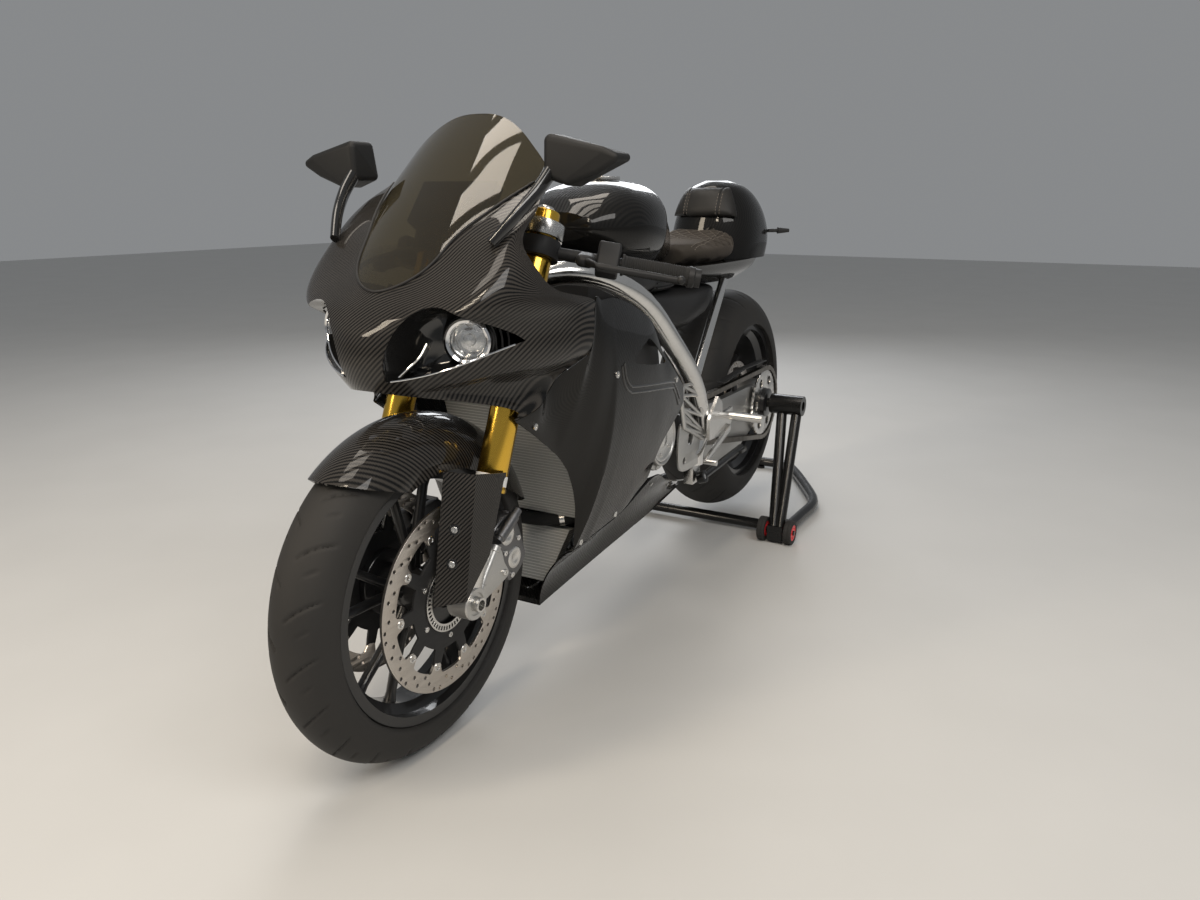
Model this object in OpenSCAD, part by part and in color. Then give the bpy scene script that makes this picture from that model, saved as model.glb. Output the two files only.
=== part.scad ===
// Carbon-bodied sport bike held upright by a single-sided rear paddock stand.
// X points forward, Y to the rider's left, Z up; the floor is Z = 0.

/* [Wheels] */
// Distance from the swingarm's pivot to the rear axle
arm_len = 575.5; // [540:0.5:620]
// Outer radius of the front tyre
front_tyre_r = 300; // [296:1:304]
// Half of the front tyre's width
front_tyre_hw = 60; // [56:1:62]
// Outer radius of the rear tyre
rear_tyre_r = 326; // [320:1:332]
// Half of the rear tyre's width
rear_tyre_hw = 100; // [94:1:101]
// How far the stand lifts the rear tyre off the floor
rear_lift = 45; // [40:1:60]
// Radius of the rim where the tyre's bead sits
bead_r = 218; // [216:1:220]
// Radius of the brake discs at the front
front_disc_r = 165; // [155:1:166]
// Thickness of a brake disc
disc_t = 5; // [4:0.5:6]

/* [Steering] */
// Steering head angle from the vertical, in degrees
rake = 23; // [22:0.5:25]
// Distance of the fork legs ahead of the steering axis
fork_offset = 30; // [26:1:32]
// Half of the distance between the fork legs
fork_half = 115; // [112:1:118]
// Radius of the gold upper fork tubes
fork_r = 27; // [25:0.5:28]
// Radius of the lower fork tubes
slider_r = 21.5; // [20:0.5:23]
// Length of a fork leg from the axle to its cap
fork_len = 710; // [690:1:720]
// Height of the lower clamp along the leg
lower_clamp_s = 455; // [445:1:465]
// Height of the upper clamp along the leg
upper_clamp_s = 640; // [630:1:648]
// Radius of the handlebar tube
bar_r = 11; // [10:0.5:12]
// Length of a handlebar from the fork leg to its end
bar_len = 276; // [262:1:282]
// Sweep of the handlebars towards the rider, in degrees
bar_sweep = 28; // [22:1:32]

/* [Bodywork] */
// Thickness of the carbon panels
panel_t = 3; // [2.5:0.5:4]
// Thickness of the screen
screen_t = 4; // [3:0.5:5]
// Height of the screen above the nose
screen_h = 283; // [250:1:310]
// Thickness of the pad behind the rider
pad_t = 24; // [18:1:28]

/* [Frame] */
// Radius of the twin frame spars
spar_r = 23; // [20:0.5:25]
// Radius of the seat struts
strut_r = 12; // [10:0.5:14]
// Radius of the swingarm's hub carrier
hub_r = 68; // [64:1:72]

/* [Paddock stand] */
// How far the stand's handle reaches behind the rear axle
stand_reach = 560; // [520:1:600]
// Radius of the stand's tubes
stand_tube_r = 16; // [14:0.5:18]
// Radius of the pin in the rear axle
stand_pin_r = 13.5; // [12:0.5:14]
// Radius of the stand's wheels
stand_wheel_r = 35; // [30:1:40]

/* [Hidden] */
$fn = 64;
// Gap between pieces that seat on each other
seat_gap = 0.3;
// Gap of a turning fit, on the radius
turn_gap = 0.08;

// Places along the bike: the front axle, the swingarm's pivot and the rear axle
front_x = 847.5;
pivot_x = -12;
rear_x = pivot_x - arm_len;
// Middle of the whole length, from the front tyre to the stand's handle
middle_x = (front_x + front_tyre_r + rear_x - stand_reach) / 2;
front_z = front_tyre_r;
rear_z = rear_tyre_r + rear_lift;

// Stands the finished bike over the origin
module placed() {
    translate([-middle_x, 0, 0]) children();
}

// Shared shapes

// A point between a and b
function mix(a, b, t) = a + (b - a) * t;

// Smooth value of a table's column at a key in its first column
function row_before(tab, k) = max([0, for (j = [0:len(tab) - 2]) if (tab[j][0] <= k) j]);
function slope(tab, j, c) =
    let (a = max(j - 1, 0), b = min(j + 1, len(tab) - 1))
    (tab[b][c] - tab[a][c]) / (tab[b][0] - tab[a][0]);
function at(tab, k, c) =
    let (i = row_before(tab, k), h = tab[i + 1][0] - tab[i][0], t = (k - tab[i][0]) / h)
    (2 * t * t * t - 3 * t * t + 1) * tab[i][c] + (t * t * t - 2 * t * t + t) * h * slope(tab, i, c)
    + (3 * t * t - 2 * t * t * t) * tab[i + 1][c] + (t * t * t - t * t) * h * slope(tab, i + 1, c);

// Points of a smooth curve through the given ones
function curve(pts, per) =
    let (n = len(pts))
    [for (i = [0:n - 2]) for (s = [0:per - 1])
        let (t = s / per,
             m0 = (pts[min(i + 1, n - 1)] - pts[max(i - 1, 0)]) / 2,
             m1 = (pts[min(i + 2, n - 1)] - pts[i]) / 2)
        (2 * t * t * t - 3 * t * t + 1) * pts[i] + (t * t * t - 2 * t * t + t) * m0
        + (3 * t * t - 2 * t * t * t) * pts[i + 1] + (t * t * t - t * t) * m1,
     pts[n - 1]];

function unit(v) = v / norm(v);

// Faces between the rows of a grid of points
function grid_faces(rows, cols, start = 0, turned = false) =
    [for (i = [0:rows - 2]) for (j = [0:cols - 2])
        let (a = start + i * cols + j, b = a + 1, c = a + cols + 1, d = a + cols)
        each turned ? [[a, c, b], [a, d, c]] : [[a, b, c], [a, c, d]]];

// Inward normal of a grid at one of its points
function grid_normal(g, i, j) =
    let (r = len(g) - 1, c = len(g[0]) - 1,
         du = g[min(i + 1, r)][j] - g[max(i - 1, 0)][j],
         dv = g[i][min(j + 1, c)] - g[i][max(j - 1, 0)])
    unit(cross(du, dv));

// A closed skin between an outer and an inner grid of the same size
module shell(outer, inner) {
    rows = len(outer);
    cols = len(outer[0]);
    n = rows * cols;
    rim = concat(
        [for (j = [0:cols - 2]) [j, j + 1]],
        [for (i = [0:rows - 2]) [i * cols + cols - 1, (i + 1) * cols + cols - 1]],
        [for (j = [cols - 2:-1:0]) [(rows - 1) * cols + j + 1, (rows - 1) * cols + j]],
        [for (i = [rows - 2:-1:0]) [(i + 1) * cols, i * cols]]);
    walls = [for (e = rim) each [[e[0], n + e[1], n + e[0]], [e[0], e[1], n + e[1]]]];
    polyhedron(points = [for (r = concat(outer, inner)) each r],
               faces = concat(grid_faces(rows, cols, 0, true), grid_faces(rows, cols, n), walls), convexity = 8);
}

// A curved sheet of even thickness inside an outer grid
module sheet(g, thick) {
    shell(g, [for (i = [0:len(g) - 1]) [for (j = [0:len(g[0]) - 1]) g[i][j] + grid_normal(g, i, j) * thick]]);
}

// A closed solid through rings that have the same number of points
module loft(rings) {
    m = len(rings);
    k = len(rings[0]);
    sides = [for (i = [0:m - 2]) for (j = [0:k - 1])
        let (a = i * k + j, b = i * k + (j + 1) % k, c = (i + 1) * k + (j + 1) % k, d = (i + 1) * k + j)
        each [[a, b, c], [a, c, d]]];
    caps = concat([for (j = [1:k - 2]) [0, j + 1, j]],
                  [for (j = [1:k - 2]) [(m - 1) * k, (m - 1) * k + j, (m - 1) * k + j + 1]]);
    polyhedron(points = [for (r = rings) each r], faces = concat(sides, caps), convexity = 8);
}

// Closed superellipse ring at height z, from x_back to x_front
function level_ring(z, x_front, x_back, w, n, k) =
    [for (j = [0:k - 1])
        let (a = -360 * j / k, c = cos(a), s = sin(a))
        [(x_front + x_back) / 2 + (x_front - x_back) / 2 * sign(c) * pow(abs(c), 2 / n),
         w * sign(s) * pow(abs(s), 2 / n), z]];

// Closed superellipse ring across the bike at station x
function cross_ring(x, w, z_low, z_high, n, k) =
    [for (j = [0:k - 1])
        let (a = -360 * j / k, c = cos(a), s = sin(a))
        [x, w * sign(c) * pow(abs(c), 2 / n),
         (z_low + z_high) / 2 + (z_high - z_low) / 2 * sign(s) * pow(abs(s), 2 / n)]];

// A tube swept along points, rw wide and rh high; up is a direction the path never takes
module swept(pts, rw, rh, k, up = [0, 1, 0]) {
    last = len(pts) - 1;
    rings = [for (i = [0:last])
        let (d = unit(pts[min(i + 1, last)] - pts[max(i - 1, 0)]),
             u = unit(cross(d, up)), v = unit(cross(u, d)))
        [for (j = [0:k - 1]) pts[i] + u * rh * cos(360 * j / k) + v * rw * sin(360 * j / k)]];
    loft(rings);
}

// A round bar from a to b
module rod(a, b, r) {
    d = b - a;
    translate(a) rotate([0, acos(d[2] / norm(d)), atan2(d[1], d[0])]) cylinder(r = r, h = norm(d));
}

// The children and their mirror image across the bike
module both_sides() {
    children();
    mirror([0, 1, 0]) children();
}

// Turns a lathe profile (radius, width) about an axle along Y
module lathe_y(x, z) {
    translate([x, 0, z]) rotate([90, 0, 0]) rotate_extrude($fn = 96) children();
}

// A disc or pipe along Y from y0 to y1
module round_y(x, z, r, y0, y1) {
    translate([x, y1, z]) rotate([90, 0, 0]) cylinder(r = r, h = y1 - y0);
}

// Flat shape in the wheel's plane, from y0 to y1
module plate_y(x, z, y0, y1) {
    translate([x, y1, z]) rotate([90, 0, 0]) linear_extrude(y1 - y0) children();
}

// Places children in the fork's own frame: origin at the front axle, Z up the legs
module fork_frame() {
    translate([front_x, 0, front_z]) rotate([0, -rake, 0]) children();
}
module left_leg() {
    fork_frame() translate([0, fork_half, 0]) children();
}
// A point of the fork's frame in the bike's frame
function fork_pt(p) =
    [front_x + p[0] * cos(rake) - p[2] * sin(rake), p[1], front_z + p[0] * sin(rake) + p[2] * cos(rake)];

// Tyres, rims and brake discs

tyre_wall = 9;
flange_h = 11;
rim_well = 18;

// Tyre cross-section: a round crown that runs down to the bead
module tyre_profile(r, hw, crown, bead_hw) {
    steps = 12;
    mid = r - crown;
    difference() {
        polygon(concat(
            [[bead_r, -bead_hw], [bead_r + flange_h + 1, -bead_hw]],
            [for (i = [0:steps]) let (a = -90 + 180 * i / steps) [mid + crown * cos(a), hw * sin(a)]],
            [[bead_r + flange_h + 1, bead_hw], [bead_r, bead_hw]]));
        polygon(concat(
            [[bead_r - 1, -bead_hw + tyre_wall], [bead_r + flange_h + 1, -bead_hw + tyre_wall]],
            [for (i = [0:steps]) let (a = -90 + 180 * i / steps)
                [mid + (crown - tyre_wall) * cos(a), (hw - tyre_wall) * sin(a)]],
            [[bead_r + flange_h + 1, bead_hw - tyre_wall], [bead_r - 1, bead_hw - tyre_wall]]));
    }
}

// Rim barrel cross-section: a bead seat between two flanges, with a well between
module rim_profile(bead_hw) {
    seat = bead_r - seat_gap;
    edge = bead_hw + seat_gap;
    wall = 4;
    polygon([[bead_r + flange_h, edge], [bead_r + flange_h, edge + 5], [seat - 6, edge + 5], [seat - 6, bead_hw - 12],
             [seat - rim_well - wall, bead_hw - 24], [seat - rim_well - wall, 24 - bead_hw], [seat - 6, 12 - bead_hw],
             [seat - 6, -edge - 5], [bead_r + flange_h, -edge - 5], [bead_r + flange_h, -edge],
             [seat, -edge], [seat, 14 - bead_hw],
             [seat - rim_well, 26 - bead_hw], [seat - rim_well, bead_hw - 26], [seat, bead_hw - 14], [seat, edge]]);
}

// Forked spokes between a hub and the barrel
module spokes(count, hub, spread, y0, y1, x, z) {
    reach = bead_r - rim_well - 2;
    plate_y(x, z, y0, y1)
        for (k = [0:count - 1]) for (s = [-1, 1])
            rotate(360 * k / count + 90) polygon([
                [hub * 0.8, s * 1], [hub * 0.8, s * 15],
                [reach, s * (spread + 9)], [reach, s * (spread - 9)], [hub + 42, s * 1]]);
}

// Brake disc in the wheel's plane: drilled ring, lugs and a spoked carrier
module disc_plate(r, bore, windows, rows) {
    band = 30;
    difference() {
        circle(r);
        circle(bore);
        for (k = [0:windows - 1]) rotate(360 * k / windows) {
            polygon([[bore + 18, -6], [bore + 18, 6], [r - band - 6, 15], [r - band, 10], [r - band, -10], [r - band - 6, -15]]);
            for (m = [0:rows - 1])
                rotate(360 / windows * m / rows) translate([r - 6 - band * 0.55 * m / (rows - 1), 0]) circle(3);
        }
    }
}

// Angle of the front calipers behind the vertical, about the axle, and their inner radius
caliper_turn = 69;
caliper_r0 = 116;
front_bead_hw = 46;
front_hub_hw = 66;
front_disc_y = 72;
front_axle_r = 12.5;
front_axle_bore = 9;

module front_rim() {
    color("#151517") {
        lathe_y(front_x, front_z) rim_profile(front_bead_hw);
        spokes(5, 34, 46, -11, 11, front_x, front_z);
        difference() {
            union() {
                round_y(front_x, front_z, 34, -front_hub_hw, front_hub_hw);
                for (s = [-1, 1])
                    round_y(front_x, front_z, 58, s > 0 ? front_hub_hw - 8 : -front_disc_y + seat_gap,
                            s > 0 ? front_disc_y - seat_gap : 8 - front_hub_hw);
            }
            round_y(front_x, front_z, front_axle_r + turn_gap, -100, 100);
        }
    }
}

module front_tyre() {
    color("#1b1b1c") lathe_y(front_x, front_z)
        tyre_profile(front_tyre_r, front_tyre_hw, 62, front_bead_hw);
}

module front_discs() {
    color("#b9b4ac") both_sides()
        plate_y(front_x, front_z, front_disc_y, front_disc_y + disc_t)
            disc_plate(front_disc_r, 48, 10, 3);
}

rear_bead_hw = 78;
rear_hub_y = 40;
rear_axle_r = 42;
rear_axle_bore = stand_pin_r + 0.4;
rear_disc_y = 46;
carrier_y0 = 58;
carrier_y1 = 126;
sprocket_y = 136;
sprocket_t = 7;

module rear_rim() {
    color("#151517") difference() {
        union() {
            lathe_y(rear_x, rear_z) rim_profile(rear_bead_hw);
            spokes(5, 60, 46, -34, -6, rear_x, rear_z);
            round_y(rear_x, rear_z, 62, -62, rear_hub_y);
            round_y(rear_x, rear_z, rear_axle_r, rear_hub_y - 1, sprocket_y + sprocket_t + 12);
        }
        round_y(rear_x, rear_z, rear_axle_bore, -80, 200);
    }
}

module rear_tyre() {
    color("#1b1b1c") lathe_y(rear_x, rear_z)
        tyre_profile(rear_tyre_r, rear_tyre_hw, 92, rear_bead_hw);
}

module rear_disc() {
    color("#b9b4ac") plate_y(rear_x, rear_z, rear_disc_y, rear_disc_y + disc_t)
        disc_plate(115, rear_axle_r + seat_gap, 8, 3);
}

// Chain drive

chain_pitch = 15.875;
rear_teeth = 41;
front_teeth = 16;
rear_pitch_r = chain_pitch / (2 * sin(180 / rear_teeth));
front_pitch_r = chain_pitch / (2 * sin(180 / front_teeth));
drive_x = 62;
drive_z = 432;

module rear_sprocket() {
    color("#c9c7c2") plate_y(rear_x, rear_z, sprocket_y, sprocket_y + sprocket_t) difference() {
        polygon([for (k = [0:rear_teeth * 2 - 1])
            (rear_pitch_r + (k % 2 == 0 ? 0 : -7)) * [cos(180 * k / rear_teeth), sin(180 * k / rear_teeth)]]);
        circle(rear_axle_r + seat_gap);
        for (k = [0:5]) rotate(60 * k) translate([70, 0]) circle(13);
    }
}

// Pitch line of the chain, as points every half link around both sprockets
chain_span = norm([drive_x - rear_x, drive_z - rear_z]);
chain_lean = atan2(drive_z - rear_z, drive_x - rear_x);
chain_open = asin((rear_pitch_r - front_pitch_r) / chain_span);
chain_run = chain_span * cos(chain_open);
function chain_at(s) =
    let (rear_arc = rear_pitch_r * (180 + 2 * chain_open) * PI / 180,
         front_arc = front_pitch_r * (180 - 2 * chain_open) * PI / 180)
    s < rear_arc
        ? let (a = 90 - chain_open + s / rear_pitch_r * 180 / PI)
          [rear_pitch_r * cos(a), rear_pitch_r * sin(a), a]
    : s < rear_arc + chain_run
        ? let (a = -90 + chain_open, d = s - rear_arc)
          [rear_pitch_r * cos(a) + d * cos(chain_open), rear_pitch_r * sin(a) + d * sin(chain_open), a]
    : s < rear_arc + chain_run + front_arc
        ? let (a = -90 + chain_open + (s - rear_arc - chain_run) / front_pitch_r * 180 / PI)
          [chain_span + front_pitch_r * cos(a), front_pitch_r * sin(a), a]
        : let (a = 90 - chain_open, d = s - rear_arc - chain_run - front_arc)
          [chain_span + front_pitch_r * cos(a) - d * cos(chain_open), front_pitch_r * sin(a) + d * sin(chain_open), a];
chain_total = (rear_pitch_r * (180 + 2 * chain_open) + front_pitch_r * (180 - 2 * chain_open)) * PI / 180 + 2 * chain_run;
chain_steps = 2 * round(chain_total / chain_pitch);

// The chain: a band scalloped at every link, slotted where the teeth pass
module chain() {
    plate_h = 7.5;
    waist_h = 5;
    half_w = 7;
    mid = sprocket_y + sprocket_t / 2;
    function edge(side) = [for (k = [0:chain_steps - 1])
        let (p = chain_at(chain_total * k / chain_steps), h = (k % 2 == 0 ? plate_h : waist_h) * side)
        [p[0] + h * cos(p[2]), p[1] + h * sin(p[2])]];
    color("#8c8676") difference() {
        translate([rear_x, mid + half_w, rear_z]) rotate([90, 0, 0]) linear_extrude(2 * half_w)
            rotate(chain_lean) difference() {
                polygon(edge(1));
                polygon(edge(-1));
            }
        round_y(rear_x, rear_z, rear_pitch_r + 3, mid - sprocket_t / 2 - 1.5, mid + sprocket_t / 2 + 1.5);
    }
}

// A guard above the chain's upper run, on a bracket from the swingarm
module chain_guard() {
    y0 = sprocket_y - 6;
    y1 = sprocket_y + sprocket_t + 8;
    color("#1a1a1b") {
        plate_y(0, 0, y0, y1) polygon([
            [rear_x + 20, rear_z + 128], [rear_x + 200, rear_z + 131], [rear_x + 360, rear_z + 118],
            [rear_x + 360, rear_z + 121], [rear_x + 200, rear_z + 134], [rear_x + 20, rear_z + 131]]);
        translate([rear_x + 170, carrier_y1 - 14, 0]) plate_y(0, 0, 0, 6) polygon([
            [0, rear_z + 65.4], [26, rear_z + 65.4], [22, rear_z + 131], [4, rear_z + 131]]);
        translate([rear_x + 174, carrier_y1 - 14, rear_z + 128]) cube([18, 26, 3]);
    }
}

// Chassis

pivot_z = 415;
// Centre line of the left frame spar, from the steering head to the swingarm pivot
spar_line = [[567.6, 21.8, 827.5], [535.6, 57.4, 814], [490, 102, 822], [420, 146, 808], [313, 176, 758], [194, 186, 663],
             [67, 186, 553], [-6, 181, 436], [14, 175, 372], [16, 174, 340]];
head_low_s = lower_clamp_s + 40;
head_high_s = upper_clamp_s - 5;
head_r = 30;
stem_r = 13;

module frame() {
    color("#b8b7b2") {
        both_sides() swept(curve(spar_line, 4), spar_r, spar_r, 16);
        fork_frame() translate([-fork_offset, 0, head_low_s]) difference() {
            cylinder(r = head_r, h = head_high_s - head_low_s);
            translate([0, 0, -1]) cylinder(r = stem_r + turn_gap, h = head_high_s - head_low_s + 2);
        }
        rod([pivot_x, -156, pivot_z], [pivot_x, 156, pivot_z], 17);
    }
}

module subframe() {
    color("#b3b2ad") both_sides() {
        rod([26, 172, 540], [-323, 101, 746], strut_r);
    }
}

engine_hw = 138;
sump_hw = 62;
module engine() {
    color("#2a2a2c") {
        plate_y(0, 0, -engine_hw, engine_hw) polygon([
            [124, 372], [430, 352], [446, 400], [446, 520], [462, 640], [440, 720], [330, 730],
            [270, 690], [180, 700], [150, 620], [128, 520]]);
        plate_y(0, 0, -sump_hw, sump_hw) polygon([[140, 275], [420, 275], [428, 360], [130, 380]]);
        // gearbox with the drive sprocket's boss
        plate_y(0, 0, -100, 124) polygon([[30, 396], [132, 384], [140, 530], [66, 500]]);
        round_y(drive_x, drive_z, front_pitch_r - 8, 120, sprocket_y + sprocket_t + 4);
        // bosses under the spars, and posts that carry the side panels
        both_sides() {
            round_y(spar_line[5][0], spar_line[5][2], 17, engine_hw - 1, spar_line[5][1] - spar_r - 0.7);
            let (p = panel_pt(400, 0.57)) rod([400, engine_hw - 1, p[2]], [400, p[1] - panel_t - 1.1, p[2]], 8);
        }
    }
}

cover_x = 225;
cover_z = 450;
module engine_covers() {
    color("#9a9994") both_sides() {
        round_y(cover_x, cover_z, 72, engine_hw, engine_hw + 40);
        round_y(cover_x, cover_z, 60, engine_hw + 40, engine_hw + 54);
    }
}

// Upper water radiator leaning over the tyre, and the oil cooler under it
module radiators() {
    color("#8f9190") {
        translate([470, -140, 350]) rotate([0, 16, 0]) cube([30, 280, 250]);
        translate([478, 0, 188]) rotate([0, -8, 0]) rotate([90, 0, 90]) linear_extrude(26)
            polygon([[-58, 0], [58, 0], [104, 118], [-104, 118]]);
        for (y = [-80, 80]) rod([446.5, y, 450], [505, y, 450], 8);
        for (y = [-40, 40]) rod([422.9, y, 300], [468, y, 300], 7);
    }
}

// Collector in the keel and a silencer low on the right
module exhaust() {
    color("#8d8a86") {
        swept(curve([[414, -20, 250.6], [200, -30, 248], [0, -34, 254], [-120, -62, 268], [-190, -138, 292], [-222, -160, 302]], 4),
              24, 24, 12);
        loft([for (i = [0:6]) let (t = 1 - i / 6)
            [for (p = cross_ring(mix(-206, -486, t), 40 + 14 * sin(180 * t), 0, 112 + 14 * sin(180 * t), 2.8, 20))
                p + [0, -166 - 20 * t, 240 + 60 * t]]]);
    }
}

// Single-sided swingarm: a pivot tube, a beam outside the tyre and a clamp round the hub
arm_y0 = rear_tyre_hw + 7;
arm_y1 = 129;
module swingarm() {
    color("#b5b4ae") {
        difference() {
            round_y(pivot_x, pivot_z, 34, -120, 129);
            round_y(pivot_x, pivot_z, 17 + seat_gap, -130, 160);
        }
        difference() {
            union() {
                plate_y(0, 0, arm_y0, arm_y1) polygon([
                    [-30, 452], [-120, 446], [-300, rear_z + 66], [rear_x + 120, rear_z + 64], [rear_x + 40, rear_z + 60],
                    [rear_x + 40, rear_z - 62], [rear_x + 120, rear_z - 86], [-360, 252], [-240, 268], [-110, 330], [-20, 378]]);
                round_y(rear_x, rear_z, hub_r, carrier_y0, carrier_y1);
            }
            round_y(rear_x, rear_z, rear_axle_r + turn_gap, carrier_y0 - 1, carrier_y1 + 10);
            round_y(pivot_x, pivot_z, 30, 0, 200);
            plate_y(0, 0, 0, 200) polygon([[-330, 372], [-180, 384], [-210, 330], [-320, 310]]);
        }
    }
}

module rear_caliper() {
    y0 = rear_disc_y - 14;
    color("#3a3a3c") translate([rear_x, 0, rear_z]) rotate([0, -22, 0]) {
        difference() {
            translate([-36, y0, -140]) cube([72, 34, 60]);
            translate([-40, rear_disc_y - 5.5, -121]) cube([80, disc_t + 11, 60]);
        }
        translate([-20, carrier_y0 + 1, -84]) cube([40, 6, 84 - hub_r - 0.4]);
    }
}

prop_y0 = 188;
prop_pivot = [16, prop_y0 + 9, 308];
prop_axis = [0, -0.9346, -0.3557];
peg_x = -112;
peg_z = 436;
plate_y0 = 183 + spar_r;
module rearsets() {
    color("#a9a8a3") {
        // lug under the left spar that carries the side stand
        translate([prop_pivot[0] - 22, 158, prop_pivot[2] - 16]) cube([44, 24, 339.3 - prop_pivot[2] + 16]);
        rod(prop_pivot + 22 * prop_axis, prop_pivot - 8.5 * prop_axis, 6);
    both_sides() {
        plate_y(0, 0, plate_y0, plate_y0 + 8) polygon([
            [18, 402], [22, 452], [-30, 500], [-58, 480], [-60, 452], [peg_x - 16, peg_z + 20], [peg_x - 18, peg_z - 14],
            [peg_x + 10, peg_z - 34], [-50, 398]]);
        round_y(peg_x, peg_z, 10, plate_y0 + 7, plate_y0 + 92);
        plate_y(0, 0, plate_y0 + 8.3, plate_y0 + 16) polygon([
            [peg_x + 12, peg_z - 18], [peg_x + 12, peg_z - 34], [48, 352], [56, 364]]);
        round_y(48, 358, 7, plate_y0 + 8, plate_y0 + 40);
    }
    }
}

// Airbox between the engine and the tank
module airbox() {
    color("#1a1a1b") loft([for (r = [[25, 80, 752, 797], [130, 100, 744, 803], [230, 104, 738, 819.5], [330, 60, 730.6, 848]])
        cross_ring(r[0], r[1], r[2], r[3], 3.2, 24)]);
}

module under_tray() {
    color("#1d1d1e") loft([for (r = [[-330, 70, 690, 739], [-240, 92, 660, 743.4], [-120, 100, 640, 743.6],
                                     [0, 96, 640, 746], [70, 80, 680, 748]])
        cross_ring(r[0], r[1], r[2], r[3], 3.5, 24)]);
}

// Fairing

// Levels of the nose and screen: height, front of the arc, end of the arc, half width, roundness, rear edge
cowl_levels = [
    [596, 858, 560, 202, 2.0, 756],
    [615, 876, 560, 194, 2.0, 700],
    [640, 902, 560, 186, 2.0, 672],
    [665, 926, 560, 194, 2.0, 655],
    [690, 939, 560, 224, 2.0, 640],
    [713, 946, 560, 240, 2.0, 630],
    [755, 944, 560, 240, 2.1, 622],
    [775, 933, 560, 236, 2.5, 619],
    [792, 920, 560, 233, 3.3, 618],
    [815, 899, 558, 230, 4.0, 722],
    [850, 868, 556, 224, 4.4, 764],
    [893, 829, 548, 215, 4.2, 770],
    [945, 779, 520, 205, 4.0, 712],
    [1000, 722, 478, 192, 3.0, 632],
    [1050, 668, 440, 180, 2.2, 590],
    [1100, 610, 400, 162, 2.2, 540],
    [1200, 490, 320, 126, 2.2, 430]];
screen_base_z = 815;
screen_side_z = 1000;
screen_top_z = screen_base_z + screen_h;
screen_round = 2.2;
// Height over which the nose flattens into the screen
screen_blend = 70;

// Upper edge of the nose, where the screen starts, and its lower lip; f runs from -1 to 1 across the bike
function screen_edge(f) = screen_base_z + (screen_side_z - screen_base_z) * pow(abs(f), 1.5);
function lip_edge(f) = mix(664, 598, pow(abs(f), 1.7));

// Point of the cowl at height z; f runs from -1 at the right rear edge to 1 at the left
function cowl_pt(z, f, out = 0) =
    let (tip = at(cowl_levels, z, 1) + out, end = at(cowl_levels, z, 2), w = at(cowl_levels, z, 3) + out,
         k = max(0, min(1, (z - screen_edge(f)) / screen_blend + 1)),
         n = mix(at(cowl_levels, z, 4), screen_round, k * k * (3 - 2 * k)), back = at(cowl_levels, z, 5),
         full = acos(pow(min(1, max(0, (back - end) / (tip - end))), n / 2)), a = full * f)
    [end + (tip - end) * pow(max(0, cos(a)), 2 / n), w * sign(a) * pow(abs(sin(a)), 2 / n), z];

// Almond outline of a lamp opening, seen from the front, between its inner and outer corner
lamp_in = [54, 686];
lamp_out = [206, 742];
lid_h = 80;
module lamp_outline() {
    polygon(concat(
        [for (k = [0:12]) let (t = k / 12) mix(lamp_in, lamp_out, t) + [0, lid_h * pow(sin(180 * pow(t, 0.6)), 0.6)]],
        [for (k = [11:-1:1]) let (t = k / 12) mix(lamp_in, lamp_out, t) - [0, 10 * sin(180 * t)]]));
}

module nose_cowl() {
    rows = 15;
    cols = 34;
    g = [for (i = [0:rows]) [for (j = [0:cols])
        let (f = 2 * j / cols - 1) cowl_pt(mix(lip_edge(f), screen_edge(f), i / rows), f)]];
    color("#1c1c1e") difference() {
        sheet(g, panel_t);
        both_sides() translate([700, 0, 0]) rotate([90, 0, 90]) linear_extrude(300) lamp_outline();
    }
}

module screen() {
    rows = 9;
    cols = 18;
    reach = 0.94;
    top_f = function (f) mix(screen_top_z, screen_side_z, pow(abs(f), 2.4));
    g = [for (i = [0:rows]) [for (j = [0:cols])
        let (f = reach * (2 * j / cols - 1), z0 = screen_edge(f) + 0.7) cowl_pt(mix(z0, top_f(f), i / rows), f * 0.99)]];
    color("#3a352b", 0.6) sheet(g, screen_t);
}

// Lamp units: a back plate inside the opening with a projector lamp on it
lamp_turn = 25;
module headlamps() {
    color("#2b2b2d") both_sides() {
        translate([845, 102, 741]) rotate([0, 0, 40.4]) translate([-4, -78, -58]) cube([4, 156, 112]);
        translate([851, 140, 743]) rotate([0, 90, lamp_turn]) translate([0, 0, -36]) cylinder(r = 33, h = 36);
    }
}

// Stations of a side panel: x, lower edge, upper edge, y at the lower edge, middle and upper edge
panel_rows = [
    [186, 470, 556, 222, 224, 222],
    [240, 424, 596, 214, 228, 226],
    [283, 403, 628, 202, 231, 229],
    [330, 366, 664, 184, 233, 230],
    [384, 331, 728, 172, 235, 231],
    [440, 318, 756, 164, 236, 231],
    [493, 308, 776, 158, 235, 231],
    [545, 295, 788, 148, 232, 231],
    [556, 384, 788, 158, 232, 231],
    [588, 460, 788, 164, 228, 232],
    [609, 488, 790, 164, 220, 233],
    [628.5, 509, 709, 163, 203, 236],
    [639, 517, 687, 162, 188, 217],
    [654, 530, 662, 161, 176, 186],
    [671, 542, 637, 160, 170, 175],
    [699, 563, 613, 158, 168, 173],
    [748, 596, 596.5, 155, 155.5, 156]];

function panel_pt(x, t) =
    let (low = max(at(panel_rows, x, 1), x > 546 ? 0 : at(belly_rows, x, 1) + 0.5), z = mix(low, at(panel_rows, x, 2), t),
         a = at(panel_rows, x, 3), b = at(panel_rows, x, 4), c = at(panel_rows, x, 5))
    [x, a * (1 - t) * (1 - 2 * t) + 4 * b * t * (1 - t) + c * t * (2 * t - 1), z];

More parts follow.
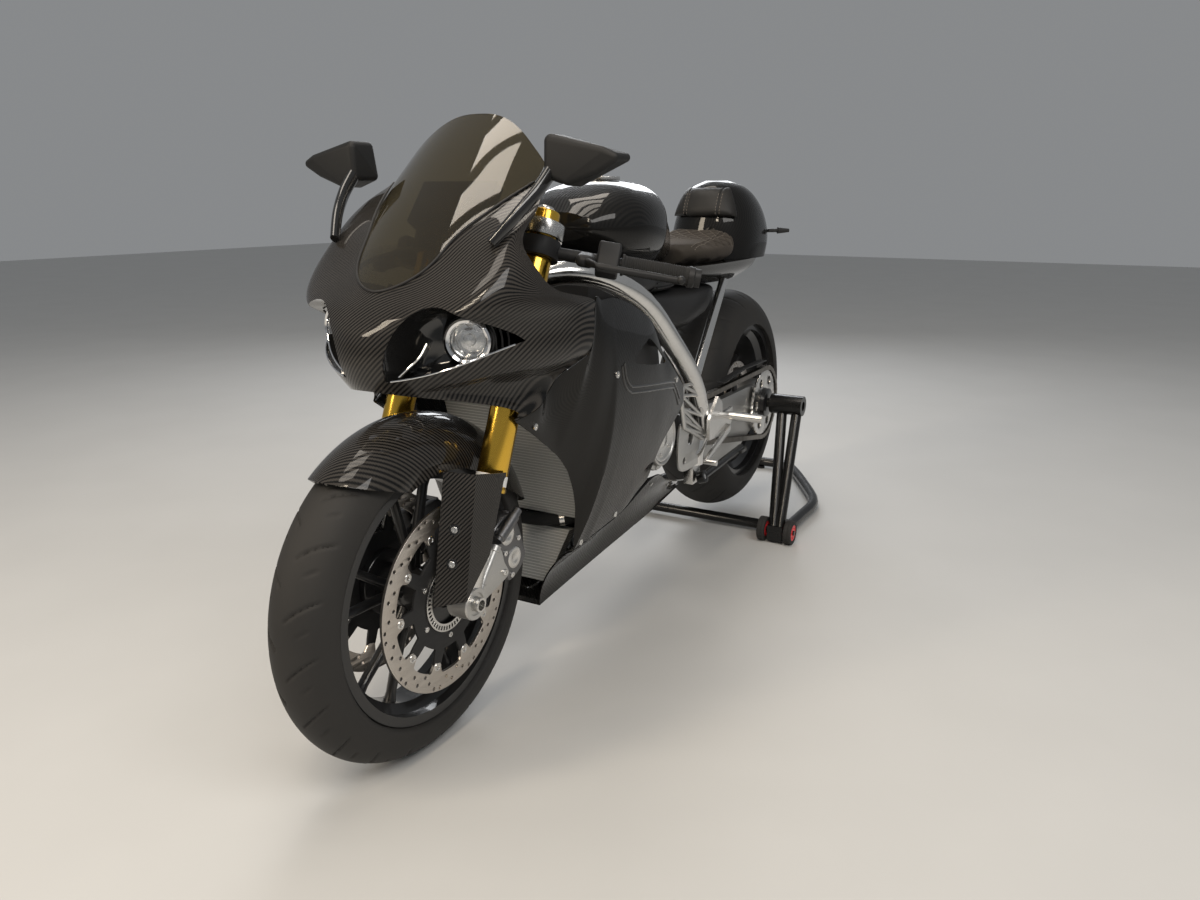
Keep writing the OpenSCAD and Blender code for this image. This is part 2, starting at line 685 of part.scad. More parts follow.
module side_panel() {
    cols = 10;
    xs = [for (i = [0:len(panel_rows) - 2]) each [panel_rows[i][0], (panel_rows[i][0] + panel_rows[i + 1][0]) / 2],
          panel_rows[len(panel_rows) - 1][0]];
    g = [for (x = xs) [for (j = [0:cols]) panel_pt(x, j / cols)]];
    sheet(g, panel_t);
}
module side_panel_left() { color("#1a1a1b") side_panel(); }
module side_panel_right() { color("#1a1a1b") mirror([0, 1, 0]) side_panel(); }

// Stations of the belly pan: x, seam height, half width at the seam, floor height, half width of the floor
belly_rows = [
    [-100, 262, 118, 232, 80],
    [40, 300, 150, 210, 76],
    [160, 336, 172, 197, 73],
    [264, 376, 187, 187, 71],
    [384, 329, 170, 176, 70],
    [493, 306, 156, 165, 69],
    [546, 293, 146, 158, 67]];

module belly_pan() {
    half = 8;
    xs = [for (i = [0:len(belly_rows) - 2]) each [belly_rows[i][0], (belly_rows[i][0] + belly_rows[i + 1][0]) / 2],
          belly_rows[len(belly_rows) - 1][0]];
    g = [for (x = xs)
        let (zs = at(belly_rows, x, 1) - 1.9, ys = at(belly_rows, x, 2), zf = at(belly_rows, x, 3), yf = at(belly_rows, x, 4))
        concat([for (j = [0:half]) let (t = j / half) [x, -mix(ys, yf, pow(sin(90 * t), 0.75)), mix(zs, zf, t)]],
               [for (j = [half:-1:0]) let (t = j / half) [x, mix(ys, yf, pow(sin(90 * t), 0.75)), mix(zs, zf, t)]])];
    color("#1a1a1b") sheet(g, panel_t);
}

module fairing_stay() {
    hub = fork_pt([-fork_offset + head_r + 5, 0, 560]);
    color("#202022") {
        rod(hub, [846, 0, 760], 9);
        rod([838, 0, 760], [933.6, 0, 760], 9);
        rod([800, -138.4, 772], [800, 138.4, 772], 8);
        rod([800, 0, 772], [713.4, 0, 909.9], 7);
    }
}

module dash() {
    color("#161617") translate([704, -78, 904]) rotate([0, -38, 0]) cube([22, 156, 84]);
}

// Mirror heads on blades that stand on the nose beside the screen
// Corners of a head: x, y, z, radius
mirror_heads = [[706, 208, 1042, 12], [704, 298, 1024, 9], [702, 316, 1017, 8], [702, 286, 1002, 9], [704, 236, 986, 10],
                [706, 206, 996, 11], [668, 206, 1044, 10], [664, 316, 1018, 7], [664, 234, 984, 9], [666, 200, 996, 10]];
module mirrors() {
    color("#2a2b2d") both_sides() {
        hull() for (h = mirror_heads) translate([h[0], h[1], h[2]]) sphere(r = h[3], $fn = 16);
        hull() {
            translate([704, 206, 1000]) sphere(r = 9, $fn = 12);
            translate(cowl_pt(890, 0.7, 13.6)) sphere(r = 7, $fn = 16);
        }
    }
}

// Tank, seat and tail

// Stations of the tank: x, half width, bottom, top, roundness
tank_rows = [
    [-140, 24, 812, 862, 2.2],
    [-110, 42, 804, 902, 2.3],
    [-60, 60, 800, 944, 2.4],
    [10, 88, 800, 976, 2.4],
    [80, 120, 801, 990, 2.4],
    [130, 140, 806, 995, 2.4],
    [230, 142, 822, 990, 2.4],
    [300, 112, 842, 962, 2.4],
    [345, 70, 872, 930, 2.3]];
module tank() {
    steps = 16;
    x0 = tank_rows[0][0];
    x1 = tank_rows[len(tank_rows) - 1][0];
    color("#232120") loft([for (i = [0:steps]) let (x = mix(x0, x1, i / steps))
        cross_ring(x, at(tank_rows, x, 1), at(tank_rows, x, 2), at(tank_rows, x, 3), at(tank_rows, x, 4), 28)]);
}

cap_x = 160;
module fuel_cap() {
    color("#8d8b86") translate([cap_x, 0, at(tank_rows, cap_x, 3) + 0.6]) cylinder(r = 38, h = 7);
}

// Levels of the seat base and the tail: height, front, back, half width, roundness
base_rows = [[744, -180, -560, 82, 2.6], [768, -70, -628, 110, 2.8], [797, -8, -660, 124, 3.0]];
tail_rows = [[797.5, -402, -662, 124, 2.8], [850, -400, -690, 127, 2.5], [905, -406, -684, 119, 2.3],
             [955, -424, -646, 100, 2.2], [988, -446, -598, 72, 2.1], [1004, -474, -546, 34, 2.0]];

module level_loft(rows, steps, k) {
    z0 = rows[0][0];
    z1 = rows[len(rows) - 1][0];
    loft([for (i = [0:steps]) let (z = mix(z0, z1, i / steps))
        level_ring(z, at(rows, z, 1), at(rows, z, 2), at(rows, z, 3), at(rows, z, 4), k)]);
}

module seat_base() { color("#1b1b1c") level_loft(base_rows, 6, 36); }
module tail_cowl() { color("#1d1d1f") level_loft(tail_rows, 12, 36); }

// Stations of the seat pad: x, half width, bottom, top, roundness
seat_rows = [
    [-394, 108, 797.3, 884, 3.2],
    [-340, 118, 797.3, 866, 3.2],
    [-260, 114, 797.3, 853, 3.2],
    [-190, 96, 797.3, 847, 3.1],
    [-144, 62, 797.3, 842, 3.0]];
module seat_pad() {
    steps = 8;
    color("#2a2622") loft([for (i = [0:steps]) let (x = mix(seat_rows[0][0], seat_rows[len(seat_rows) - 1][0], i / steps))
        cross_ring(x, at(seat_rows, x, 1), at(seat_rows, x, 2), at(seat_rows, x, 3), at(seat_rows, x, 4), 24)]);
}

// Pad on the front of the tail, following its surface
function tail_pt(z, a, out) =
    let (xf = at(tail_rows, z, 1) + out, xb = at(tail_rows, z, 2), w = at(tail_rows, z, 3) + out, n = at(tail_rows, z, 4))
    [(xf + xb) / 2 + (xf - xb) / 2 * pow(cos(a), 2 / n), w * sign(a) * pow(abs(sin(a)), 2 / n), z];
pad_low_z = 908;
pad_high_z = 987;
module back_pad() {
    rows = 7;
    cols = 12;
    spread = 44;
    outer = [for (i = [0:rows]) [for (j = [0:cols])
        let (z = mix(pad_low_z, pad_high_z, i / rows), e = pow(abs(2 * i / rows - 1), 4), q = pow(abs(2 * j / cols - 1), 4),
             out = 1 + pad_t * (1 - 0.55 * max(e, q)))
        tail_pt(z, spread * (2 * j / cols - 1), out)]];
    inner = [for (i = [0:rows]) [for (j = [0:cols]) tail_pt(mix(pad_low_z, pad_high_z, i / rows), spread * (2 * j / cols - 1), 0.9)]];
    color("#242426") shell(outer, inner);
}

module tail_lamp() {
    color("#7a1512") translate([-703.2, -46, 838]) cube([12, 92, 22]);
}

module indicators() {
    color("#1c1c1d") both_sides() {
        rod([-620, 117.2, 868], [-652, 150, 868], 5);
        translate([-652, 152, 868]) rotate([0, 90, 128]) cylinder(r1 = 9, r2 = 5, h = 34, center = true);
    }
}

// Paddock stand on the left, with its loop round the tyre's foot

stand_axle = [-431, 251, stand_wheel_r];
column_y = 236;
collar_y0 = 166;
collar_y1 = 262;
stand_bar_z = 24;
stand_front_x = -478;
loop_half = 262;
handle_half = 70;

module paddock_stand() {
    z = stand_bar_z;
    back = rear_x - stand_reach + stand_tube_r;
    side = [[stand_front_x - stand_tube_r - 8.4, loop_half, z], [-620, loop_half + 4, z], [-768, loop_half, z], [-930, 186, z],
            [back + 52, handle_half + 30, z], [back + 6, handle_half - 14, z]];
    loop = curve(concat(side, [[back, 0, z]], [for (i = [5:-1:0]) [side[i][0], -side[i][1], z]]), 4);
    color("#101011") {
        // pin and collar in the hollow axle
        round_y(rear_x, rear_z, stand_pin_r, 50, collar_y0 + 4);
        difference() {
            round_y(rear_x, rear_z, 29, collar_y0, collar_y1);
            round_y(rear_x, rear_z, 14, collar_y1 - 30, collar_y1 + 1);
        }
        for (s = [-1, 1])
            rod([rear_x + 2, column_y - 14 + 22 * s, rear_z - 22], [stand_axle[0], stand_axle[1] + 9 * s, 44], 15);
        translate([stand_front_x - 14, stand_axle[1] - 22, 8]) cube([stand_axle[0] - stand_front_x + 34, 44, 44]);
        round_y(stand_axle[0], stand_axle[2], 7, stand_axle[1] - 53, stand_axle[1] + 53);
        // floor loop
        rod([stand_front_x - 9, -loop_half, z], [stand_front_x - 9, loop_half, z], stand_tube_r - 1);
        swept(loop, stand_tube_r, stand_tube_r, 14, [0, 0, 1]);
        translate([stand_front_x - 9, -loop_half + 30, 0]) cylinder(r = 13, h = z);
        for (y = [-36, 36]) translate([back + 2, y, 0]) cylinder(r = 13, h = z - stand_tube_r - 0.2);
    }
}

module stand_wheels() {
    color("#b8232b") difference() {
        for (s = [-1, 1])
            round_y(stand_axle[0], stand_axle[2], stand_wheel_r, stand_axle[1] + (s > 0 ? 28 : -50), stand_axle[1] + (s > 0 ? 50 : -28));
        round_y(stand_axle[0], stand_axle[2], 7 + turn_gap, stand_axle[1] - 60, stand_axle[1] + 60);
    }
}

// Fork, handlebars and front brakes

module fork_tubes() {
    color("#d9a106") both_sides() left_leg() {
        translate([0, 0, 190]) cylinder(r = fork_r, h = fork_len - 190);
        translate([0, 0, fork_len - 0.5]) cylinder(r = 15, h = 9);
    }
}

module fork_lowers() {
    color("#bfbdb7") both_sides() left_leg() {
        translate([0, 0, 30]) cylinder(r = slider_r, h = 160 - seat_gap);
        difference() {
            union() {
                translate([0, 22, 0]) rotate([90, 0, 0]) cylinder(r = 27, h = 42);
                translate([-27, -20, 0]) cube([47, 34, 62]);
                rotate([0, rake - caliper_turn, 0]) translate([-30, -12, 8]) cube([60, 24, caliper_r0 - 8.3]);
            }
            translate([0, 40, 0]) rotate([90, 0, 0]) cylinder(r = front_axle_r + seat_gap, h = 80);
        }
    }
}

clamp_t = 26;
module clamp_outline() {
    difference() {
        union() {
            for (s = [-1, 1]) translate([0, s * fork_half]) circle(r = fork_r + 12);
            polygon([[34, -fork_half], [20, 0], [34, fork_half], [-30, fork_half], [-fork_offset - 30, 22],
                     [-fork_offset - 30, -22], [-30, -fork_half]]);
        }
        for (s = [-1, 1]) translate([0, s * fork_half]) circle(r = fork_r + seat_gap);
    }
}
module triple_clamps() {
    color("#c2c0ba") fork_frame() difference() {
        union() {
            translate([0, 0, lower_clamp_s]) linear_extrude(clamp_t + 8) clamp_outline();
            translate([0, 0, upper_clamp_s]) linear_extrude(clamp_t) clamp_outline();
            translate([-fork_offset, 0, lower_clamp_s]) cylinder(r = stem_r, h = upper_clamp_s + clamp_t + 8 - lower_clamp_s);
        }
        translate([-fork_offset, 0, lower_clamp_s - 1]) cylinder(r = 8.5, h = 61);
    }
}

clip_s = upper_clamp_s - 36;
bar_rise = 1;
module bar_frame() {
    left_leg() translate([0, 0, clip_s + 15]) rotate([0, 0, 90 + bar_sweep]) rotate([0, -bar_rise, 0]) children();
}
module along_bar(a, b, r) {
    translate([a, 0, 0]) rotate([0, 90, 0]) cylinder(r = r, h = b - a);
}
grip_a = 148;
module clip_ons() {
    color("#1b1b1c") both_sides() {
        left_leg() translate([0, 0, clip_s]) difference() {
            cylinder(r = fork_r + 11, h = 32);
            translate([0, 0, -1]) cylinder(r = fork_r + seat_gap, h = 34);
        }
        bar_frame() {
            along_bar(fork_r + 5, bar_len - 6, bar_r);
            along_bar(bar_len - 8, bar_len + 12, 16);
        }
    }
}
module grips() {
    color("#242425") both_sides() bar_frame() difference() {
        along_bar(grip_a, bar_len - 9, 17);
        along_bar(grip_a - 1, bar_len, bar_r + seat_gap);
    }
}
module controls() {
    color("#29292b") both_sides() bar_frame() {
        difference() {
            translate([104, -20, -24]) cube([40, 42, 56]);
            along_bar(100, 150, bar_r + seat_gap);
        }
        difference() {
            translate([72, -44, -13]) cube([26, 60, 26]);
            along_bar(70, 100, bar_r + seat_gap);
        }
        translate([0, 0, -5]) linear_extrude(10) polygon([
            [84, -40], [98, -40], [120, -66], [250, -58], [262, -66], [258, -74], [120, -82], [84, -52]]);
    }
}

// The fender hugs the tyre from fender_front ahead of the vertical to fender_back behind it
fender_gap = 9;
fender_front = 38;
fender_back = 75;
fender_arc = front_tyre_hw + 16;
skirt_r = 221;
// Guards lean ahead of the fork legs, and are bolted to them
guard_lean = 12.4;
guard_len = 232;
guard_bolts = [70, 128];
// Guard section: inner edge, fold and outer edge, ahead of the leg
guard_edge = [[52, -28], [29, 21], [-42, 32]];
module front_fender() {
    r = front_tyre_r + fender_gap;
    color("#1b1b1d") {
        difference() {
            translate([front_x, 0, front_z]) rotate([90, 0, 0]) rotate([0, 0, 90 - fender_front])
                rotate_extrude(angle = fender_front + fender_back, $fn = 96) difference() {
                    intersection() {
                        translate([r - fender_arc + panel_t, 0]) circle(r = fender_arc);
                        translate([skirt_r, -100]) square([160, 200]);
                    }
                    translate([r - fender_arc + panel_t, 0]) circle(r = fender_arc - panel_t);
                }
            plate_y(front_x, front_z, -120, 120) {
                polygon([[78, 209], [280, 273], [280, 0], [78, 0]]);
                polygon([[-150, 160], [-340, 56], [-340, 0], [-150, 0]]);
            }
        }
        both_sides() left_leg() {
            rotate([0, guard_lean, 0]) {
                difference() {
                    translate([0, 0, -10]) linear_extrude(guard_len) polygon(concat(guard_edge,
                        [guard_edge[2] - [0, panel_t], guard_edge[1] - [2, panel_t - 0.3], guard_edge[0] - [2.6, 1.4]]));
                    rotate([90, 0, 0]) translate([0, 0, -60]) linear_extrude(120) {
                        polygon([[-60, -20], [29, -20], [29, 10], [-18, 83], [-38, 213], [-60, 213]]);
                        polygon([[28, -20], [28, 10], [60, -12], [60, -20]]);
                    }
                }
                for (b = guard_bolts)
                    let (x0 = slider_r / cos(guard_lean) - (b - 5) * tan(guard_lean) + 0.4)
                        translate([x0, -5, b]) rotate([0, 90, 0]) cylinder(r = 5, h = 39 - x0);
            }
            translate([-22, -48, 262]) cube([56, 48 - fork_r - seat_gap, 8]);
        }
    }
}

module front_calipers() {
    color("#6d6c69") both_sides() translate([front_x, 0, front_z]) rotate([0, -caliper_turn, 0]) difference() {
        translate([-62, 50, caliper_r0]) cube([124, 66, 68]);
        translate([-70, front_disc_y - 5.5, 100]) cube([140, disc_t + 11, 72]);
    }
}

module front_axle() {
    color("#c8c6c0") difference() {
        round_y(front_x, front_z, front_axle_r, -fork_half - 32, fork_half + 32);
        round_y(front_x, front_z, front_axle_bore, -fork_half - 40, fork_half + 40);
    }
}

// Side stand, folded back along the frame

prop_len = 250;
module side_stand() {
    color("#1a1a1b") difference() {
        union() {
            rod(prop_pivot + [-4, 0, 0], prop_pivot + [-prop_len, 6, 16], 9);
            rod(prop_pivot - 9 * prop_axis, prop_pivot + 9 * prop_axis, 15);
            translate(prop_pivot + [-prop_len - 8, -6, 8]) cube([40, 26, 8]);
        }
        rod(prop_pivot - 30 * prop_axis, prop_pivot + 30 * prop_axis, 6 + turn_gap);
    }
}

placed() frame();
placed() subframe();
placed() engine();
placed() engine_covers();
placed() radiators();
placed() exhaust();
placed() swingarm();
placed() rear_caliper();
placed() chain();
placed() chain_guard();
placed() rearsets();
placed() under_tray();
placed() airbox();
placed() fairing_stay();
placed() nose_cowl();
placed() screen();
placed() headlamps();
placed() side_panel_left();
placed() side_panel_right();
placed() belly_pan();
placed() tank();
placed() fuel_cap();
placed() seat_base();
placed() seat_pad();
placed() back_pad();
placed() tail_cowl();
placed() tail_lamp();
placed() indicators();
placed() mirrors();
placed() dash();
placed() paddock_stand();
placed() fork_tubes();
placed() fork_lowers();
placed() triple_clamps();
placed() clip_ons();
placed() grips();
placed() controls();
placed() front_fender();
placed() front_calipers();
placed() front_axle();
placed() front_rim();
placed() front_tyre();
placed() front_discs();
placed() rear_rim();
placed() rear_tyre();
placed() rear_disc();
placed() rear_sprocket();
placed() side_stand();
placed() stand_wheels();
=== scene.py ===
"""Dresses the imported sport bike: bodywork, soft parts, wheels, brakes, materials, light and camera."""

import math

import bmesh
import bpy
import numpy as np
from mathutils import Matrix, Vector
from mathutils.bvhtree import BVHTree


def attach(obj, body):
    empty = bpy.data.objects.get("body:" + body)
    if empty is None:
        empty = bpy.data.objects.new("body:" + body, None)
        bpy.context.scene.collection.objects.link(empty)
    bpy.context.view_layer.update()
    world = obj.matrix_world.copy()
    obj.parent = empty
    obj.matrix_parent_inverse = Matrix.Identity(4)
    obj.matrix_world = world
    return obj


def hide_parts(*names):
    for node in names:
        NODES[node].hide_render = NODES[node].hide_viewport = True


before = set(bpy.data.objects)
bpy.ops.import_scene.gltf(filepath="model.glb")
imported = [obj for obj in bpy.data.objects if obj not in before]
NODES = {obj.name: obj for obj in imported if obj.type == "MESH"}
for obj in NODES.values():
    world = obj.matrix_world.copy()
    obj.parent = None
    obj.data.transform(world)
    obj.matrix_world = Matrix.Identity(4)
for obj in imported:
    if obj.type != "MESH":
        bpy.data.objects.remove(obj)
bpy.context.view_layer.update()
MM = 0.001
TURN = 2 * math.pi
SIDES = ((1, "left"), (-1, "right"))
ACROSS = (0, 1, 0)

# Places and sizes in millimetres, in the bike's frame
FRONT = np.array([847.5, 0.0, 300.0])
REAR = np.array([-587.5, 0.0, 371.0])
RAKE = math.radians(23)
FORK_HALF = 115.0
PANEL_T = 3.0
# Angles in degrees over which edges stay sharp: on turned pieces, flat plates, lofted skins and pads
ROUND, FLAT, SKIN, SOFT = 35, 20, 50, 80


# Curves and points

def mix(a, b, t):
    return a + (b - a) * t


def smooth(a, b, t):
    t = min(1.0, max(0.0, (t - a) / (b - a)))
    return t * t * (3 - 2 * t)


def hermite(t, a, b, slope_a, slope_b):
    return ((2 * t ** 3 - 3 * t * t + 1) * a + (t ** 3 - 2 * t * t + t) * slope_a
            + (3 * t * t - 2 * t ** 3) * b + (t ** 3 - t * t) * slope_b)


def at(tab, key, col):
    """Smooth value of a table's column at a key in its first column."""
    i = max([0] + [j for j in range(len(tab) - 1) if tab[j][0] <= key])

    def slope(j):
        a, b = max(j - 1, 0), min(j + 1, len(tab) - 1)
        return (tab[b][col] - tab[a][col]) / (tab[b][0] - tab[a][0])

    h = tab[i + 1][0] - tab[i][0]
    return hermite((key - tab[i][0]) / h, tab[i][col], tab[i + 1][col], h * slope(i), h * slope(i + 1))


def spline(pts, per=8, closed=False):
    """Points of a smooth curve through the given ones."""
    p = np.array(pts, float)
    n = len(p)
    out = []
    for i in range(n if closed else n - 1):
        if closed:
            a, b, c, d = p[i - 1], p[i], p[(i + 1) % n], p[(i + 2) % n]
        else:
            a, b, c, d = p[max(i - 1, 0)], p[i], p[i + 1], p[min(i + 2, n - 1)]
        out += [hermite(s / per, b, c, (c - a) / 2, (d - b) / 2) for s in range(per)]
    if not closed:
        out.append(p[-1])
    return np.array(out)


def power(v, e):
    return math.copysign(abs(v) ** e, v)


def turns(n, shift=0.0):
    """Even angles round a circle."""
    return (np.arange(n) + shift) * TURN / n


def polar(r, a):
    return np.array([r * math.cos(a), r * math.sin(a)])


def around(centre, r, a, y):
    """A point at a radius and angle about a wheel's axle, and at a width."""
    return np.array(centre) + np.array([r * math.cos(a), y, r * math.sin(a)])


def circle(r, n=24, c=(0, 0)):
    return np.array([c + polar(r, a) for a in turns(n)])


def mirror(side):
    return np.array([1, side, 1])


def fork_point(x, y, s):
    """A point of the left fork leg's frame in the bike's frame."""
    return np.array([FRONT[0] + x * math.cos(RAKE) - s * math.sin(RAKE), y + FORK_HALF,
                     FRONT[2] + x * math.sin(RAKE) + s * math.cos(RAKE)])


def place_at(origin, x, y, z):
    """Matrix with the given axes; the origin is in millimetres."""
    m = Matrix((x, y, z)).transposed().to_4x4()
    m.translation = Vector([c * MM for c in origin])
    return m


def wheel_plane(centre, side=1):
    """Place for plates in a wheel's plane: X forward, Y up, Z out to the given side."""
    return place_at(centre, (1, 0, 0), (0, 0, 1), (0, side, 0))


# Meshes

def piece(name, verts, faces, mat, body, slot=None, replaces=(), uv=None, angle=ROUND, outward=True):
    """A mesh piece from points in millimetres; uv holds one pair for each point."""
    me = bpy.data.meshes.new(name)
    me.from_pydata((np.asarray(verts, float) * MM).tolist(), [], [list(map(int, f)) for f in faces])
    if uv is not None:
        layer = me.uv_layers.new(name="UVMap")
        index = np.zeros(len(me.loops), np.int32)
        me.loops.foreach_get("vertex_index", index)
        layer.data.foreach_set("uv", np.asarray(uv, np.float32)[index].ravel())
    me.update()
    if outward:
        bm = bmesh.new()
        bm.from_mesh(me)
        bmesh.ops.recalc_face_normals(bm, faces=bm.faces)
        bm.to_mesh(me)
        bm.free()
    obj = bpy.data.objects.new(name, me)
    bpy.context.scene.collection.objects.link(obj)
    me.materials.append(M[mat])
    shade(obj, angle)
    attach(obj, body)
    return stand_for(obj, replaces)


def stand_for(obj, replaces):
    if replaces:
        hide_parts(*replaces)
    return obj


def once(node, side):
    """The node that a pair of pieces stands for, named by the left one."""
    return (node,) if side > 0 else ()


def shade(obj, angle=ROUND):
    """Smooth shading, with edges sharper than the angle kept sharp."""
    me = obj.data
    me.polygons.foreach_set("use_smooth", [True] * len(me.polygons))
    me.set_sharp_from_angle(angle=math.radians(angle))


def bake_modifiers(obj):
    """Applies all modifiers of one of the scene's own pieces."""
    view = bpy.context.evaluated_depsgraph_get()
    me = bpy.data.meshes.new_from_object(obj.evaluated_get(view))
    obj.modifiers.clear()
    obj.data = me


def grid_uv(g):
    """Arc lengths in millimetres over a grid: across each row and up each column."""
    across = np.zeros(g.shape[:2])
    across[:, 1:] = np.cumsum(np.linalg.norm(np.diff(g, axis=1), axis=2), axis=1)
    across -= across[:, g.shape[1] // 2][:, None]
    up = np.zeros(g.shape[:2])
    up[1:] = np.cumsum(np.linalg.norm(np.diff(g, axis=0), axis=2), axis=0)
    return np.stack([across, up], 2)


def skin(name, outer, inner, mat, body, **rest):
    """A closed skin between two grids of points."""
    rows, cols = outer.shape[:2]
    size = rows * cols
    idx = np.arange(size).reshape(rows, cols)
    quads = np.stack([idx[:-1, :-1], idx[:-1, 1:], idx[1:, 1:], idx[1:, :-1]], 2).reshape(-1, 4)
    edge = np.concatenate([idx[0, :], idx[1:, -1], idx[-1, -2::-1], idx[-2:0:-1, 0]])
    nxt = np.roll(edge, -1)
    walls = np.stack([edge, nxt, nxt + size, edge + size], 1)
    uv = grid_uv(outer).reshape(-1, 2)
    return piece(name, np.concatenate([outer.reshape(-1, 3), inner.reshape(-1, 3)]),
                 np.concatenate([quads, quads[:, ::-1] + size, walls]), mat, body,
                 uv=np.concatenate([uv, uv]), **rest)


def sheet(name, g, thick, mat, body, inside, **rest):
    """A skin of even thickness on a grid of outer points; inside is a point on its inner side."""
    n = np.cross(np.gradient(g, axis=0), np.gradient(g, axis=1))
    n /= np.maximum(np.linalg.norm(n, axis=2, keepdims=True), 1e-9)
    if np.sum((np.array(inside) - g.mean((0, 1))) * n.mean((0, 1))) < 0:
        n = -n
    return skin(name, g, g + n * thick, mat, body, **rest)


def loft(name, rings, mat, body, first_cap=True, **rest):
    """A solid through rings of equal length, with a fan on its last end and, unless it is a bowl, on its first."""
    r = np.array(rings, float)
    m, k = r.shape[:2]
    idx = np.arange(m * k).reshape(m, k)
    nxt = np.roll(idx, -1, axis=1)
    quads = np.stack([idx[:-1], nxt[:-1], nxt[1:], idx[1:]], 2).reshape(-1, 4).tolist()
    verts = np.concatenate([r.reshape(-1, 3), [r[0].mean(0)], [r[-1].mean(0)]])
    caps = [[m * k + 1, idx[-1, j], nxt[-1, j]] for j in range(k)]
    if first_cap:
        caps += [[m * k, nxt[0, j], idx[0, j]] for j in range(k)]
    uv = grid_uv(np.concatenate([r, r[:, :1]], 1))[:, :k].reshape(-1, 2)
    return piece(name, verts, quads + caps, mat, body, uv=np.concatenate([uv, [[0, 0], [0, 0]]]), **rest)


def tube(name, pts, radius, mat, body, sides=16, flat=1.0, up=ACROSS, **rest):
    """A tube along points; radius is a number or one for each point, flat its thickness along up."""
    p = np.array(pts, float)
    rad = np.full(len(p), radius) if np.isscalar(radius) else np.asarray(radius, float)
    a = turns(sides)
    rings = []
    for i in range(len(p)):
        d = p[min(i + 1, len(p) - 1)] - p[max(i - 1, 0)]
        d /= np.linalg.norm(d)
        u = np.cross(d, up)
        u /= np.linalg.norm(u)
        v = np.cross(u, d)
        rings.append(p[i] + rad[i] * (np.outer(np.cos(a), u) + flat * np.outer(np.sin(a), v)))
    return loft(name, rings, mat, body, **rest)


def lathe(name, profile, centre, axis, mat, body, steps=64, closed=False, **rest):
    """Turns a profile of (radius, height along the axis) about an axis."""
    ax = np.array(axis, float) / np.linalg.norm(axis)
    u = np.cross(ax, [0, 0, 1] if abs(ax[2]) < 0.9 else [1, 0, 0])
    u /= np.linalg.norm(u)
    v = np.cross(ax, u)
    ring = [[np.array(centre) + h * ax + r * (math.cos(a) * u + math.sin(a) * v) for r, h in profile]
            for a in turns(steps)]
    k = len(profile)
    faces = []
    for i in range(steps):
        j = (i + 1) % steps
        for a in range(k if closed else k - 1):
            b = (a + 1) % k
            faces.append([i * k + a, i * k + b, j * k + b, j * k + a])
    return piece(name, np.array(ring).reshape(-1, 3), faces, mat, body, **rest)


def plate(name, loops, low, high, place, mat, body, bevel=0.6, **rest):
    """A flat plate with holes: outlines in the place's own XY, from low to high along its Z."""
    curve = bpy.data.curves.new(name, "CURVE")
    curve.dimensions = "2D"
    curve.fill_mode = "BOTH"
    curve.extrude = (high - low) / 2 * MM - bevel * MM
    curve.bevel_depth = bevel * MM
    curve.bevel_resolution = 2
    curve.offset = -bevel * MM
    for pts in loops:
        s = curve.splines.new("POLY")
        s.points.add(len(pts) - 1)
        s.points.foreach_set("co", [c for p in pts for c in (p[0] * MM, p[1] * MM, 0, 1)])
        s.use_cyclic_u = True
    shape = bpy.data.objects.new(name + "_outline", curve)
    bpy.context.scene.collection.objects.link(shape)
    bpy.context.view_layer.update()
    me = bpy.data.meshes.new_from_object(shape.evaluated_get(bpy.context.evaluated_depsgraph_get()))
    bpy.data.objects.remove(shape)
    bm = bmesh.new()
    bm.from_mesh(me)
    bmesh.ops.remove_doubles(bm, verts=bm.verts, dist=1e-6)
    bmesh.ops.translate(bm, verts=bm.verts, vec=(0, 0, (low + high) / 2 * MM))
    bmesh.ops.transform(bm, matrix=place, verts=bm.verts)
    bmesh.ops.recalc_face_normals(bm, faces=bm.faces)
    co = [tuple(v.co / MM) for v in bm.verts]
    faces = [[v.index for v in f.verts] for f in bm.faces]
    bm.free()
    bpy.data.meshes.remove(me)
    return piece(name, co, faces, mat, body, angle=FLAT, **rest)


def merge(name, parts, angle=ROUND, replaces=()):
    """Joins pieces of one body and material into one piece."""
    first = parts[0]
    bm = bmesh.new()
    for p in parts:
        bm.from_mesh(p.data)
    me = bpy.data.meshes.new(name)
    bm.to_mesh(me)
    bm.free()
    me.materials.append(first.data.materials[0])
    old = first.data
    first.data = me
    first.name = name
    bpy.data.meshes.remove(old)
    for p in parts[1:]:
        bpy.data.objects.remove(p)
    shade(first, angle)
    return stand_for(first, replaces)


def bolts(name, heads, r, h, body, mat="silver"):
    """Hexagon-socket screw heads at (point, direction) pairs, joined into one piece."""
    profile = [(0.0, h * 0.55), (r * 0.42, h * 0.55), (r * 0.46, h), (r * 0.86, h), (r, h * 0.8), (r, -0.5)]
    merge(name, [lathe(f"{name}_{i}", profile, p, d, mat, body, 18) for i, (p, d) in enumerate(heads)])


# Materials

